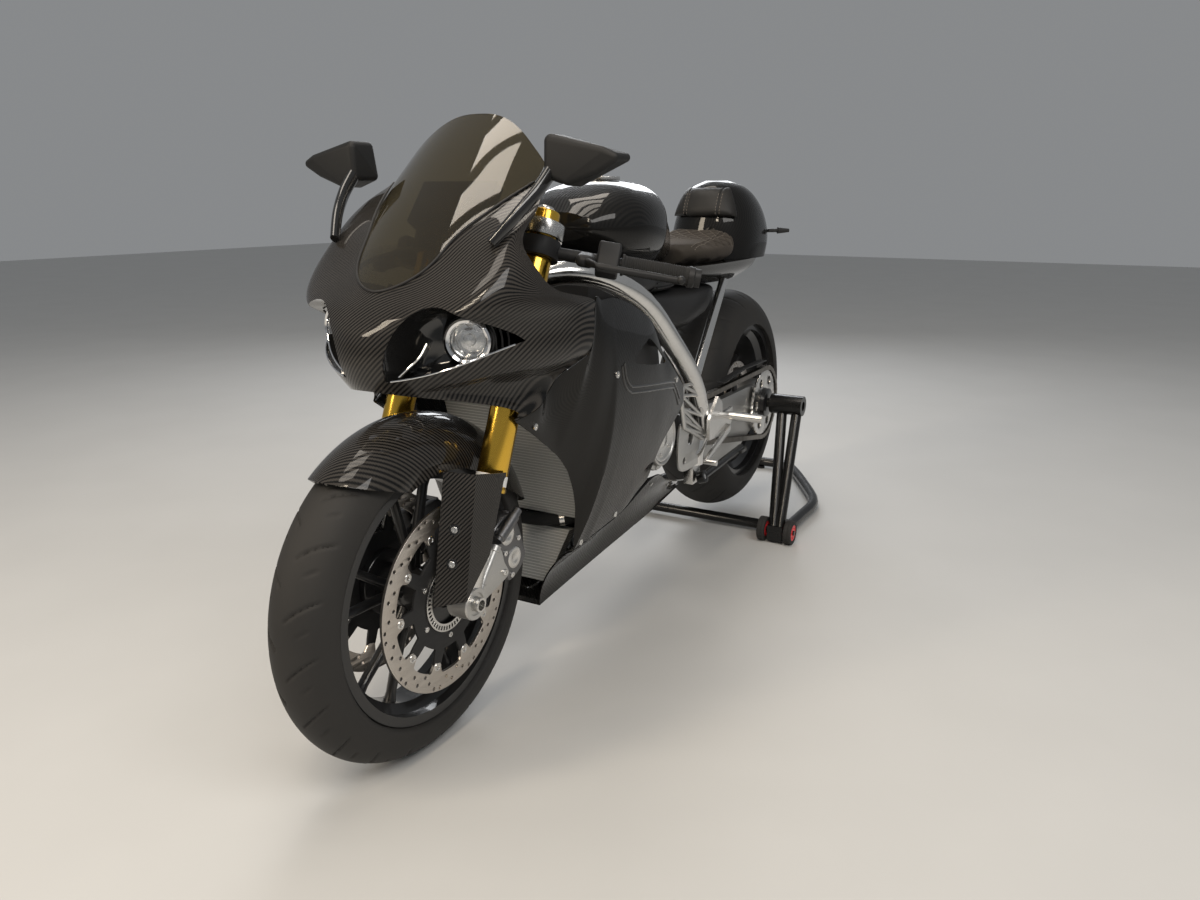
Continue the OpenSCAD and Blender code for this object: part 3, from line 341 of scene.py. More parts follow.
class Shader:
    """A material with short calls for the nodes that its procedural finish needs."""

    def __init__(self, name, colour, rough=0.5, metal=0.0, **sockets):
        self.mat = bpy.data.materials.new(name)
        self.mat.use_nodes = True
        self.tree = self.mat.node_tree
        self.out = self.tree.nodes["Principled BSDF"]
        self.out.inputs["Base Color"].default_value = (*colour, 1)
        self.out.inputs["Roughness"].default_value = rough
        self.out.inputs["Metallic"].default_value = metal
        for key, value in sockets.items():
            self.feed(self.out.inputs[key.replace("_", " ")], value)

    def feed(self, socket, v):
        if hasattr(v, "is_output"):
            self.tree.links.new(v, socket)
        else:
            socket.default_value = (*v, 1) if isinstance(v, tuple) else v

    def node(self, kind, *links, **props):
        n = self.tree.nodes.new(kind)
        for key, value in props.items():
            setattr(n, key, value)
        for i, v in enumerate(links):
            self.feed(n.inputs[i], v)
        return n

    def fill(self, kind, inputs, **props):
        """A node with its inputs given by name or number."""
        n = self.node(kind, **props)
        for key, v in inputs.items():
            self.feed(n.inputs[key], v)
        return n

    def math(self, op, a, b=0.0):
        return self.node("ShaderNodeMath", a, b, operation=op).outputs[0]

    def place(self, kind="Object"):
        return self.node("ShaderNodeTexCoord").outputs[kind]

    def xyz(self, kind="Object"):
        return self.node("ShaderNodeSeparateXYZ", self.place(kind)).outputs[:3]

    def noise(self, scale, detail=3.0):
        inputs = {"Vector": self.place(), "Scale": scale, "Detail": detail}
        return self.fill("ShaderNodeTexNoise", inputs).outputs["Fac"]

    def blend(self, fac, a, b):
        return self.fill("ShaderNodeMix", {0: fac, 6: a, 7: b}, data_type="RGBA").outputs[2]

    def span(self, fac, low, high):
        return self.fill("ShaderNodeMapRange", {"Value": fac, "To Min": low, "To Max": high}).outputs["Result"]

    def set(self, socket, value):
        self.tree.links.new(value, self.out.inputs[socket])

    def bump(self, height, strength, distance):
        inputs = {"Strength": strength, "Distance": distance, "Height": height}
        self.set("Normal", self.fill("ShaderNodeBump", inputs).outputs["Normal"])


def carbon(name, dark, light, tow=2.0, gloss=0.03):
    """Clear-coated twill: tows two over and two under, in the piece's UV millimetres; the over tows take the light
    colour, a painted sheen of the weave.
    """
    s = Shader(name, dark, 0.4, 0.0, Coat_Weight=1.0, Coat_Roughness=gloss, Coat_IOR=1.34, Specular_IOR_Level=0.06)
    u, v, _ = s.xyz("UV")
    a, b = s.math("MULTIPLY", u, 1 / tow), s.math("MULTIPLY", v, 1 / tow)
    cell = s.math("SUBTRACT", s.math("FLOOR", a), s.math("FLOOR", b))
    over = s.math("LESS_THAN", s.math("FLOORED_MODULO", cell, 4.0), 1.5)
    crown = []
    for t in (a, b):
        w = s.math("SUBTRACT", s.math("FRACT", t), 0.5)
        crown.append(s.math("SUBTRACT", 1.0, s.math("MULTIPLY", s.math("MULTIPLY", w, w), 4.0)))
    height = s.math("ADD", s.math("MULTIPLY", crown[0], over),
                    s.math("MULTIPLY", crown[1], s.math("SUBTRACT", 1.0, over)))
    # Painted sheen: the over tows take the light colour, the under tows keep the dark one.
    tone = s.math("MULTIPLY", over, s.span(s.noise(9.0, 2.0), 0.55, 1.2))
    s.set("Base Color", s.blend(tone, dark, light))
    s.set("Roughness", s.span(over, 0.5, 0.3))
    s.bump(height, 0.2, 0.0004)
    return s.mat


def metal(name, colour, rough, grain, spread, bump):
    """Metal with a fine grain and a broad, faint change of tone."""
    s = Shader(name, colour, rough, 1.0)
    fine = s.noise(grain, 4.0)
    dark = tuple(c * 0.72 for c in colour)
    s.set("Base Color", s.blend(s.math("MULTIPLY", fine, s.noise(14.0)), colour, dark))
    s.set("Roughness", s.span(fine, max(0.03, rough - spread), rough + spread))
    s.bump(fine, bump, 0.0005)
    return s.mat


def coated(name, colour, rough, grain=700.0, bump=0.15, coat=0.0, worn=1.5):
    """Moulded plastic, powder coat or paint: a fine pebble, and a little wear in the tone."""
    s = Shader(name, colour, rough, 0.0, Coat_Weight=coat, Coat_Roughness=0.06, Specular_IOR_Level=0.28)
    fine = s.noise(grain)
    wear = s.noise(11.0, 5.0)
    s.set("Base Color", s.blend(wear, colour, tuple(min(1.0, c * worn + 0.004) for c in colour)))
    s.set("Roughness", s.span(wear, max(0.05, rough - 0.1), min(1.0, rough + 0.1)))
    s.bump(fine, bump, 0.0004)
    return s.mat


def rings(name, centre, colour=(0.6, 0.575, 0.545), rough=0.3):
    """Brushed steel with fine rings about a wheel's axle."""
    s = Shader(name, colour, rough, 1.0)
    x, _, z = s.xyz()
    dx = s.math("SUBTRACT", x, centre[0] * MM)
    dz = s.math("SUBTRACT", z, centre[2] * MM)
    r = s.math("SQRT", s.math("ADD", s.math("MULTIPLY", dx, dx), s.math("MULTIPLY", dz, dz)))
    line = s.fill("ShaderNodeTexNoise", {"Scale": 1600.0, "W": r}, noise_dimensions="1D").outputs["Fac"]
    heat = tuple(c * f for c, f in zip(colour, (0.86, 0.8, 0.74)))
    s.set("Base Color", s.blend(s.noise(9.0, 2.0), colour, heat))
    s.set("Roughness", s.span(line, rough - 0.1, rough + 0.15))
    s.bump(line, 0.1, 0.0004)
    return s.mat


def rubber_finish():
    s = Shader("tyre_rubber", (0.018, 0.0175, 0.017), 0.7, 0.0, Specular_IOR_Level=0.35)
    dust = s.noise(7.0, 6.0)
    s.set("Base Color", s.blend(dust, (0.014, 0.0137, 0.0133), (0.034, 0.032, 0.03)))
    s.set("Roughness", s.span(dust, 0.55, 0.85))
    s.bump(s.noise(900.0, 2.0), 0.2, 0.0004)
    return s.mat


def suede_finish():
    s = Shader("seat_suede", (0.03, 0.023, 0.018), 0.95, 0.0, Sheen_Weight=0.18, Sheen_Roughness=0.5,
               Sheen_Tint=(0.5, 0.42, 0.36))
    s.set("Base Color", s.blend(s.noise(16.0, 4.0), (0.012, 0.0095, 0.007), (0.03, 0.0245, 0.0185)))
    s.bump(s.noise(420.0, 5.0), 0.5, 0.0007)
    return s.mat


def leather_finish():
    s = Shader("pad_leather", (0.012, 0.0117, 0.0113), 0.5, 0.0, Specular_IOR_Level=0.3)
    cell = s.fill("ShaderNodeTexVoronoi", {"Vector": s.place(), "Scale": 520.0}).outputs["Distance"]
    crease = s.noise(40.0, 5.0)
    s.set("Base Color", s.blend(crease, (0.007, 0.0068, 0.0066), (0.018, 0.0174, 0.0168)))
    s.set("Roughness", s.span(crease, 0.38, 0.62))
    s.bump(s.math("ADD", cell, crease), 0.35, 0.0006)
    return s.mat


def tinted_glass(name, colour, through, rough=0.02):
    s = Shader(name, colour, rough, 0.0, Transmission_Weight=through, IOR=1.5, Coat_Weight=0.4,
               Coat_Roughness=0.01)
    s.set("Roughness", s.span(s.noise(5.0, 2.0), rough, rough + 0.03))
    return s.mat


def fins_and_painted_gap_shade():
    """Radiator core: pale fins between flat tubes across the bike, with painted light and shade across the fins.
    """
    s = Shader("radiator_core", (0.5, 0.5, 0.48), 0.5, 0.45)
    _, y, z = s.xyz()
    row = s.math("FRACT", s.math("MULTIPLY", z, 160.0))
    fin = s.math("PINGPONG", s.math("ADD", s.math("MULTIPLY", y, 560.0), row), 0.5)
    # Painted shade in the gaps between the fins and painted light on their crests; the flat tubes keep the full
    # pale colour.
    tone = s.math("MAXIMUM", s.math("MULTIPLY", fin, 1.4), s.math("LESS_THAN", row, 0.28))
    s.set("Base Color", s.blend(tone, (0.3, 0.3, 0.29), (0.72, 0.72, 0.69)))
    s.bump(tone, 0.6, 0.001)
    return s.mat


def chain_finish():
    s = Shader("chain_steel", (0.5, 0.47, 0.4), 0.35, 1.0)
    oil = s.noise(60.0, 4.0)
    s.set("Base Color", s.blend(oil, (0.26, 0.24, 0.21), (0.09, 0.08, 0.07)))
    s.set("Roughness", s.span(oil, 0.22, 0.5))
    return s.mat


M = {
    # The first carbon is the lit copy, its light tows a painted sheen, for the nose, fender and fork guards; the
    # second is a shaded copy of the same carbon, its tows held near black, for the panels, pan, tank, seat base
    # and tail.
    "weave": carbon("carbon_lit_copy", (0.003, 0.003, 0.003), (0.052, 0.047, 0.042)),
    "weave_shaded_copy": carbon("carbon_dark", (0.003, 0.003, 0.0029), (0.009, 0.0084, 0.0078)),
    "gold": metal("fork_gold", (0.86, 0.53, 0.075), 0.2, 700.0, 0.05, 0.012),
    "silver": metal("machined_silver", (0.72, 0.71, 0.69), 0.26, 900.0, 0.07, 0.02),
    "polished": metal("polished_tube", (0.78, 0.77, 0.75), 0.17, 120.0, 0.07, 0.03),
    "cast": metal("cast_alloy", (0.6, 0.595, 0.58), 0.42, 420.0, 0.12, 0.3),
    "grey": metal("grey_alloy", (0.2, 0.2, 0.205), 0.4, 380.0, 0.1, 0.2),
    "chrome": metal("bright_chrome", (0.85, 0.85, 0.86), 0.07, 200.0, 0.03, 0.01),
    "reflector": metal("lamp_reflector", (0.86, 0.86, 0.85), 0.14, 90.0, 0.06, 0.25),
    "exhaust": metal("exhaust_steel", (0.42, 0.38, 0.34), 0.32, 160.0, 0.12, 0.08),
    "steel": rings("disc_steel", FRONT),
    "rear_steel": rings("rear_disc_steel", REAR),
    "chain": chain_finish(),
    "rim": coated("rim_black", (0.01, 0.01, 0.0105), 0.33, 300.0, 0.08, 0.5),
    "rubber": rubber_finish(),
    "black": coated("black_plastic", (0.013, 0.013, 0.0135), 0.48),
    "matte": coated("mirror_matte", (0.008, 0.0082, 0.0086), 0.55, 900.0, 0.3),
    "gloss": coated("gloss_black", (0.006, 0.006, 0.006), 0.12, 60.0, 0.01, 1.0),
    "powder": coated("stand_black", (0.005, 0.005, 0.005), 0.26, 500.0, 0.08, 0.2),
    "engine": coated("engine_dark", (0.03, 0.03, 0.031), 0.5, 260.0, 0.4),
    "red": coated("hub_red", (0.68, 0.016, 0.024), 0.35, 400.0, 0.1, 0.3, 1.2),
    "grip": coated("grip_rubber", (0.014, 0.014, 0.014), 0.8, 600.0, 0.5),
    "thread": coated("stitch_thread", (0.13, 0.115, 0.1), 0.9, 1500.0, 0.5),
    "band": coated("fork_band", (0.7, 0.69, 0.66), 0.4, 500.0, 0.05),
    "suede": suede_finish(),
    "leather": leather_finish(),
    "screen": tinted_glass("smoked_screen", (0.13, 0.102, 0.05), 0.9),
    "lens": tinted_glass("lamp_lens", (0.95, 0.96, 0.97), 0.95, 0.0),
    "red_lens": tinted_glass("tail_lens", (0.35, 0.01, 0.01), 0.3, 0.08),
    "fins": fins_and_painted_gap_shade(),
}

# Finishes of the solids that are shown as they are
NODE_FINISH = {
    "polished": ("frame", "subframe"),
    "silver": ("triple_clamps", "front_axle", "rear_sprocket", "fuel_cap", "rearsets"),
    "cast": ("swingarm",),
    "grey": ("rear_caliper",),
    "chain": ("chain",),
    "black": ("under_tray", "airbox", "chain_guard", "dash", "fairing_stay", "indicators", "clip_ons"),
    "engine": ("engine",),
    "powder": ("paddock_stand", "side_stand"),
    "exhaust": ("exhaust",),
    "fins": ("radiators",),
    "red_lens": ("tail_lamp",),
}
BEVELLED = ("triple_clamps", "swingarm", "rear_caliper", "rearsets", "engine", "radiators", "chain_guard", "dash",
            "rear_sprocket", "fuel_cap", "tail_lamp", "clip_ons", "side_stand")


def dress_nodes():
    """Gives the carried-over nodes their finish, soft edges and smooth shading."""
    for finish, names in NODE_FINISH.items():
        for name in names:
            obj = NODES[name]
            me = obj.data
            me.materials.clear()
            me.materials.append(M[finish])
            me.polygons.foreach_set("use_smooth", [True] * len(me.polygons))
            if "custom_normal" in me.attributes:
                me.attributes.remove(me.attributes["custom_normal"])
            obj.modifiers.new("weld", "WELD").merge_threshold = 1e-5
            if name in BEVELLED:
                bevel = obj.modifiers.new("edge", "BEVEL")
                bevel.width = 0.0014
                bevel.segments = 2
                bevel.limit_method = "ANGLE"
                bevel.angle_limit = math.radians(38)
            obj.modifiers.new("split", "EDGE_SPLIT").split_angle = math.radians(32)


dress_nodes()


# Nose, screen and lamps

# Levels: height, front of the arc, end of the arc, half width, roundness, rear edge
COWL = [
    [596, 858, 560, 202, 2.0, 756], [615, 876, 560, 194, 2.0, 700], [640, 902, 560, 186, 2.0, 672],
    [665, 926, 560, 194, 2.0, 655], [690, 939, 560, 224, 2.0, 640], [713, 946, 560, 240, 2.0, 630],
    [755, 944, 560, 240, 2.1, 622], [775, 933, 560, 236, 2.5, 619], [792, 920, 560, 233, 3.3, 618],
    [815, 899, 558, 230, 4.0, 722], [850, 868, 556, 224, 4.4, 764], [893, 829, 548, 215, 4.2, 770],
    [945, 779, 520, 205, 4.0, 712], [1000, 722, 478, 192, 3.0, 632], [1050, 668, 440, 180, 2.2, 590],
    [1100, 610, 400, 162, 2.2, 540], [1200, 490, 320, 126, 2.2, 430]]
SCREEN_BASE, SCREEN_SIDE, SCREEN_TOP = 815.0, 1000.0, 1098.0
SCREEN_ROUND, SCREEN_BLEND = 2.2, 70.0
# Lamp openings: inner and outer corner (y, z), and the height over the line between them
LAMP_IN, LAMP_OUT, LID_H = np.array([40.0, 683.0]), np.array([200.0, 740.0]), 92.0
LAMP_AT, LAMP_TURN = np.array([851.0, 140.0, 743.0]), math.radians(25)
# Upper edge of the scoop under each lamp: share of the nose's half, height
SCOOP = [(0.25, 668), (0.4, 671.5), (0.494, 676), (0.569, 682), (0.638, 687), (0.75, 689), (0.85, 681), (1.0, 660)]
SCOOP_DEEP = 10.0
# Bowl behind a lamp opening: share of the outline, depth
BOWL = ((1.0, -0.6), (0.985, -6), (0.95, -16), (0.9, -30), (0.82, -44), (0.6, -52), (0.25, -54))
# Turned lamp parts: radius, height along the lamp's axis
HOUSING = [(26, -44), (37.5, -40), (37.5, -4), (36.8, 0), (33.5, 2.2), (29.8, 0), (28.6, -6), (25, -24), (10, -34),
           (0.1, -35)]
SHROUD = [(40.6, -42), (40.6, -10), (39.4, -8.4), (37.8, -10), (37.8, -42)]
SHUTTER = [(26.5, -16), (23, -17), (22, -22), (17, -20), (16, -24), (9, -22), (8, -19), (0.1, -18)]
LENS_R, LENS_H = 28.3, 11.0
LOUVRE_Y = (172, 178, 184, 190)
FIN = [(60, 691), (78, 706), (96, 724), (106, 744)]


def screen_edge(f):
    return SCREEN_BASE + (SCREEN_SIDE - SCREEN_BASE) * abs(f) ** 1.5


def lip_edge(f):
    return mix(664, 598, abs(f) ** 1.7)


def cowl_pt(z, f, out=0.0):
    """Point of the nose or screen at height z; f runs from -1 at the right rear edge to 1 at the left."""
    tip, end, w = at(COWL, z, 1) + out, at(COWL, z, 2), at(COWL, z, 3) + out
    n = mix(at(COWL, z, 4), SCREEN_ROUND, smooth(-1, 0, (z - screen_edge(f)) / SCREEN_BLEND))
    share = min(1.0, max(0.0, (at(COWL, z, 5) - end) / (tip - end)))
    a = math.acos(share ** (n / 2)) * f
    return np.array([end + (tip - end) * max(0.0, math.cos(a)) ** (2 / n), w * power(math.sin(a), 2 / n), z])


def cowl_at(y, z, out=0.0):
    """Point of the nose's left half at a given width and height."""
    low, high = 0.0, 1.0
    for _ in range(40):
        f = (low + high) / 2
        if cowl_pt(z, f)[1] < y:
            low = f
        else:
            high = f
    return cowl_pt(z, low, out)


def lid(t):
    """Height of a lamp opening over its lower edge, from its inner to its outer corner."""
    return LID_H * abs(math.sin(math.pi * t ** 0.72)) ** 0.8


def lamp_outline(n=28):
    """Almond outline of a lamp opening (y, z), seen from the front."""
    top = [mix(LAMP_IN, LAMP_OUT, k / n) + [0, lid(k / n)] for k in range(n + 1)]
    low = [mix(LAMP_IN, LAMP_OUT, k / n) - [0, 10 * math.sin(math.pi * k / n)] for k in range(n - 1, 0, -1)]
    return np.array(top + low)


def cut(obj, outline):
    """Cuts away what lies inside a loft between two outlines."""
    cutter = loft("cutter", outline, "weave", "chassis")
    mod = obj.modifiers.new("cut", "BOOLEAN")
    mod.operation = "DIFFERENCE"
    mod.solver = "EXACT"
    mod.object = cutter
    bake_modifiers(obj)
    bpy.data.objects.remove(cutter)
    shade(obj)


def scoop(f, z):
    """How far the nose is pressed in under its lamp."""
    f = abs(f)
    edge = np.interp(f, *zip(*SCOOP))
    along = smooth(0.3, 0.5, f) * smooth(0.98, 0.82, f)
    return SCOOP_DEEP * along * smooth(0, 6, edge - z) * smooth(0, 16, z - lip_edge(f))


def make_nose():
    rows, cols = 96, 144
    g = np.zeros((rows + 1, cols + 1, 3))
    for j in range(cols + 1):
        f = 2 * j / cols - 1
        for i in range(rows + 1):
            z = mix(lip_edge(f), screen_edge(f), (i / rows) ** 1.25)
            g[i, j] = cowl_pt(z, f, -scoop(f, z))
    nose = sheet("nose_shell", g, PANEL_T, "weave", "chassis", (600, 0, 760), slot="carbon",
                 replaces=("nose_cowl",))
    for side, _ in SIDES:
        cut(nose, [[(x, side * y, z) for y, z in lamp_outline()] for x in (700, 1000)])


def make_screen():
    rows, cols = 40, 64
    g = np.zeros((rows + 1, cols + 1, 3))
    for j in range(cols + 1):
        f = 0.94 * (2 * j / cols - 1)
        top = mix(SCREEN_TOP, SCREEN_SIDE, abs(f) ** 2.4)
        for i in range(rows + 1):
            g[i, j] = cowl_pt(mix(screen_edge(f) + 0.7, top, i / rows), 0.99 * f)
    sheet("screen_bubble", g, 4.0, "screen", "chassis", (500, 0, 800), slot="smoke", replaces=("screen",))
    edge = [cowl_pt(screen_edge(f) + 2, 0.99 * f, 1.2) for f in np.linspace(-0.93, 0.93, 61)]
    tube("screen_trim", edge, 2.2, "black", "chassis", 8, up=(1, 0, 1))


def make_lamps():
    out = lamp_outline(20)
    mid = np.array([0.5 * (out[:, 0].min() + out[:, 0].max()), 738.0])
    forward = (1, 0, 0.2)
    for side, tag in SIDES:
        flip = mirror(side)
        bowl = []
        for shrink, deep in BOWL:
            ring = []
            for y, z in out:
                x = cowl_at(y, z)[0]
                ring.append([x + deep - (1 - shrink) * (x - 870) / 2, *(mid + (np.array([y, z]) - mid) * shrink)])
            bowl.append(np.array(ring) * flip)
        loft(f"lamp_bowl_{tag}", bowl, "gloss", "chassis", slot="lamp",
             replaces=once("headlamps", side), angle=60, first_cap=False, outward=False)
        axis = np.array([math.cos(LAMP_TURN), side * math.sin(LAMP_TURN), 0])
        spot = LAMP_AT * flip
        lathe(f"lamp_housing_{tag}", HOUSING, spot, axis, "chrome", "chassis", 64, slot="lamp")
        lathe(f"lamp_shroud_{tag}", SHROUD, spot, axis, "black", "chassis", 64, closed=True)
        dome = [(max(LENS_R * math.sin(a), 0.05), LENS_H * math.cos(a) - LENS_H)
                for a in np.linspace(0.0, math.pi / 2, 14)]
        lathe(f"lamp_lens_{tag}", dome + [(27, -14), (0.05, -14)], spot, axis, "lens", "chassis", 48, closed=True)
        lathe(f"lamp_shutter_{tag}", SHUTTER, spot, axis, "reflector", "chassis", 40)
        edge = [cowl_at(y, z, -1.0) * flip for y, z in out[21:][::-1]]
        tube(f"lamp_edge_{tag}", edge, 1.5, "chrome", "chassis", 10, up=forward)
        ribs = []
        for k, y in enumerate(LOUVRE_Y):
            t = (y - LAMP_IN[0]) / (LAMP_OUT[0] - LAMP_IN[0])
            base = mix(LAMP_IN[1], LAMP_OUT[1], t)
            path = [cowl_at(y, z, -9 - 2.0 * k) * flip for z in np.linspace(base - 4, base + lid(t) - 1, 10)]
            ribs.append(tube("lamp_rib", path, 1.7, "black", "chassis", 8))
        merge(f"lamp_louvre_{tag}", ribs)
        fin = np.array([[cowl_at(y, z, deep) * flip for y, z in spline(FIN, 6)]
                        for deep in np.linspace(-8, -48, 8)])
        sheet(f"lamp_fin_{tag}", fin, 2.4, "gloss", "chassis", spot)
        tube(f"lamp_fin_edge_{tag}", fin[0], 1.5, "chrome", "chassis", 10, up=forward)


make_nose()
make_screen()
make_lamps()


# Side panels and belly pan

# Stations: x, lower edge, upper edge, y at the lower edge, middle and upper edge
PANEL = [
    [186, 470, 556, 222, 224, 222], [240, 424, 596, 214, 228, 226], [283, 403, 628, 202, 231, 229],
    [330, 366, 664, 184, 233, 230], [384, 331, 728, 172, 235, 231], [440, 318, 756, 164, 236, 231],
    [493, 308, 776, 158, 235, 231], [545, 295, 788, 148, 232, 231], [556, 384, 788, 158, 232, 231],
    [588, 460, 788, 164, 228, 232], [609, 488, 790, 164, 220, 233], [628.5, 509, 709, 163, 203, 236],
    [639, 517, 687, 162, 188, 217], [654, 530, 662, 161, 176, 186], [671, 542, 637, 160, 170, 175],
    [699, 563, 613, 158, 168, 173], [748, 596, 596.5, 155, 155.5, 156]]
# Stations: x, seam height, half width at the seam, floor height, half width of the floor
BELLY = [
    [-100, 262, 118, 232, 80], [40, 300, 150, 210, 76], [160, 336, 172, 197, 73], [264, 376, 187, 187, 71],
    [384, 329, 170, 176, 70], [493, 306, 156, 165, 69], [546, 293, 146, 158, 67]]
# In a panel's side view (x, z): raised lines, the cut round the engine cover, and the duct
LINES = [[(520, 668), (512, 640), (494, 622), (466, 615), (300, 594), (268, 582), (236, 548)],
         [(528, 664), (518, 630), (496, 611), (466, 604), (302, 583), (272, 571), (244, 536)]]
REAR_CUT = [(150, 572), (203, 566), (209, 534), (258, 504), (299, 471), (314, 437), (312, 398), (290, 360),
            (120, 380), (110, 480)]
DUCT = [(478, 664), (420, 694), (395, 693), (322, 645), (352, 640)]
# Screws on a panel: x, share of its height
PANEL_SCREWS = ((546, 0.72), (700, 0.3), (255, 0.92), (420, 0.03), (530, 0.02))
BELLY_GAP = 1.9


def panel_pt(x, t):
    low = max(at(PANEL, x, 1), at(BELLY, x, 1) + 0.5 if x <= 546 else 0)
    a, b, c = (at(PANEL, x, k) for k in (3, 4, 5))
    y = a * (1 - t) * (1 - 2 * t) + 4 * b * t * (1 - t) + c * t * (2 * t - 1)
    return np.array([x, y, mix(low, at(PANEL, x, 2), t)])


def panel_at(x, z):
    low, high = panel_pt(x, 0)[2], panel_pt(x, 1)[2]
    return panel_pt(x, (z - low) / (high - low))


def make_side_panels():
    stations = [np.linspace(186, 556, 94), np.linspace(556, 700, 60), np.linspace(700, 748, 10)]
    xs = sorted(set(np.round(np.concatenate(stations), 2)))
    rows = 96
    for side, tag in SIDES:
        flip = mirror(side)
        g = np.array([[panel_pt(x, j / rows) for j in range(rows + 1)] for x in xs]) * flip
        # The panels take the shaded copy of the carbon: painted shade.
        panel = sheet(f"panel_{tag}", g, PANEL_T, "weave_shaded_copy", "chassis", (400, 0, 560), slot="carbon",
                      replaces=(f"side_panel_{tag}",))
        for hole, depths in ((DUCT, (200, 250)), (REAR_CUT, (120, 260))):
            cut(panel, [[(x, side * y, z) for x, z in spline(hole, 6, True)] for y in depths])
        ribs = [tube("panel_line", [panel_at(x, z) * flip - [0, side * 0.4, 0] for x, z in spline(line, 12)], 2.6,
                     "gloss", "chassis", 12) for line in LINES]
        merge(f"panel_lines_{tag}", ribs)
        heads = [((panel_pt(x, t) + [0, 0.2, 0]) * flip, (0, side, 0)) for x, t in PANEL_SCREWS]
        bolts(f"panel_screws_{tag}", heads, 6.5, 2.2, "chassis")


def belly_pt(x, t):
    """Point of the pan's left half, from its seam down to its floor."""
    zs, ys, zf, yf = (at(BELLY, x, k) for k in (1, 2, 3, 4))
    return np.array([x, mix(ys, yf, math.sin(math.pi / 2 * t) ** 0.75), mix(zs - BELLY_GAP, zf, t)])


def make_belly():
    half = 26
    g = []
    for x in np.linspace(BELLY[0][0], BELLY[-1][0], 70):
        row = [belly_pt(x, j / half) for j in range(half + 1)]
        g.append([p * mirror(-1) for p in row] + row[::-1])
    # The pan takes the shaded copy of the carbon: painted shade.
    sheet("belly_shell", np.array(g), PANEL_T, "weave_shaded_copy", "chassis", (200, 0, 330), slot="carbon",
          replaces=("belly_pan",))
    heads = [((belly_pt(x, 0.12) + [0, 0.2, 0]) * mirror(side), (0, side, -0.5))
             for x in (500, 420, 340, 200, 80) for side, _ in SIDES]
    bolts("belly_screws", heads, 5.5, 2.0, "chassis")


make_side_panels()
make_belly()


# Tank, seat and tail

# Stations: x, half width, bottom, top, roundness
TANK = [
    [-140, 24, 812, 862, 2.2], [-110, 42, 804, 902, 2.3], [-60, 60, 800, 944, 2.4], [10, 88, 800, 976, 2.4],
    [80, 120, 801, 990, 2.4], [130, 140, 806, 995, 2.4], [230, 142, 822, 990, 2.4], [300, 112, 842, 962, 2.4],
    [345, 70, 872, 930, 2.3]]
SEAT = [[-394, 108, 797.3, 884, 3.2], [-340, 118, 797.3, 866, 3.2], [-260, 114, 797.3, 853, 3.2],
        [-190, 96, 797.3, 847, 3.1], [-144, 62, 797.3, 842, 3.0]]
INFILL = [[-96, 50, 743, 799, 3.4], [-60, 78, 742, 801, 3.6], [10, 88, 742, 803, 3.8], [66, 86, 745, 803, 3.6]]
# Levels: height, front, back, half width, roundness
BASE = [[744, -180, -560, 82, 2.6], [768, -70, -628, 110, 2.8], [797, -8, -660, 124, 3.0]]
TAIL = [[797.5, -402, -662, 124, 2.8], [850, -400, -690, 127, 2.5], [905, -406, -684, 119, 2.3],
        [955, -424, -646, 100, 2.2], [988, -446, -598, 72, 2.1], [1004, -474, -546, 34, 2.0]]
CAP_AT, CAP_SCREW_R = np.array([160.0, 0.0, 1000.6]), 29.0
# Quilted rear of the seat: pitch of its diamonds, ends and half width
QUILT, QUILT_REAR, QUILT_FRONT, QUILT_HALF = 34, -388.0, -268.0, 70.0
# Distance of the long seams from the middle, on the seat and the pad
SEAT_SEAM, PAD_SEAM = 74, 47


def cross_ring(x, w, low, high, n, k):
    return [(x, w * power(math.cos(a), 2 / n), (low + high) / 2 + (high - low) / 2 * power(math.sin(a), 2 / n))
            for a in turns(k)]


def level_ring(z, front, back, w, n, k):
    return [((front + back) / 2 + (front - back) / 2 * power(math.cos(a), 2 / n), w * power(math.sin(a), 2 / n), z)
            for a in turns(k)]


def lofted(name, table, ring, steps, k, mat, slot="carbon", **rest):
    keys = np.linspace(table[0][0], table[-1][0], steps + 1)
    loft(name, [ring(v, *(at(table, v, c) for c in range(1, 5)), k) for v in keys], mat, "chassis", slot=slot,
         angle=SKIN, **rest)


def make_tank_and_tail():
    # The tank, seat base and tail take the shaded copy of the carbon: painted shade.
    lofted("tank_shell", TANK, cross_ring, 60, 96, "weave_shaded_copy", replaces=("tank",))
    lofted("seat_shell", BASE, level_ring, 18, 120, "weave_shaded_copy", replaces=("seat_base",))
    lofted("tail_shell", TAIL, level_ring, 40, 120, "weave_shaded_copy", replaces=("tail_cowl",))
    heads = [(CAP_AT + [*polar(CAP_SCREW_R, a), 0], (0, 0, 1)) for a in turns(8)]
    bolts("cap_screws", heads, 3.2, 2.4, "chassis", "chrome")


def make_infill():
    """Moulded cover that closes the space between the tank, the airbox and the tray, with ribs on its sides."""
    lofted("infill_cover", INFILL, cross_ring, 30, 72, "black", "black_plastic")
    ribs = []
    for side, _ in SIDES:
        for z in (757, 768, 779, 790):
            path = [(x, side * (at(INFILL, x, 1) + 0.2), z) for x in np.linspace(-44, 56, 14)]
            ribs.append(tube("infill_rib", path, 1.8, "black", "chassis", 8))
    merge("infill_ribs", ribs)


def tail_pt(z, a, out):
    front, back, w, n = at(TAIL, z, 1) + out, at(TAIL, z, 2), at(TAIL, z, 3) + out, at(TAIL, z, 4)
    x = (front + back) / 2 + (front - back) / 2 * math.cos(a) ** (2 / n)
    return np.array([x, w * power(math.sin(a), 2 / n), z])


def corners(obj):
    return np.array([v.co for v in obj.data.vertices])


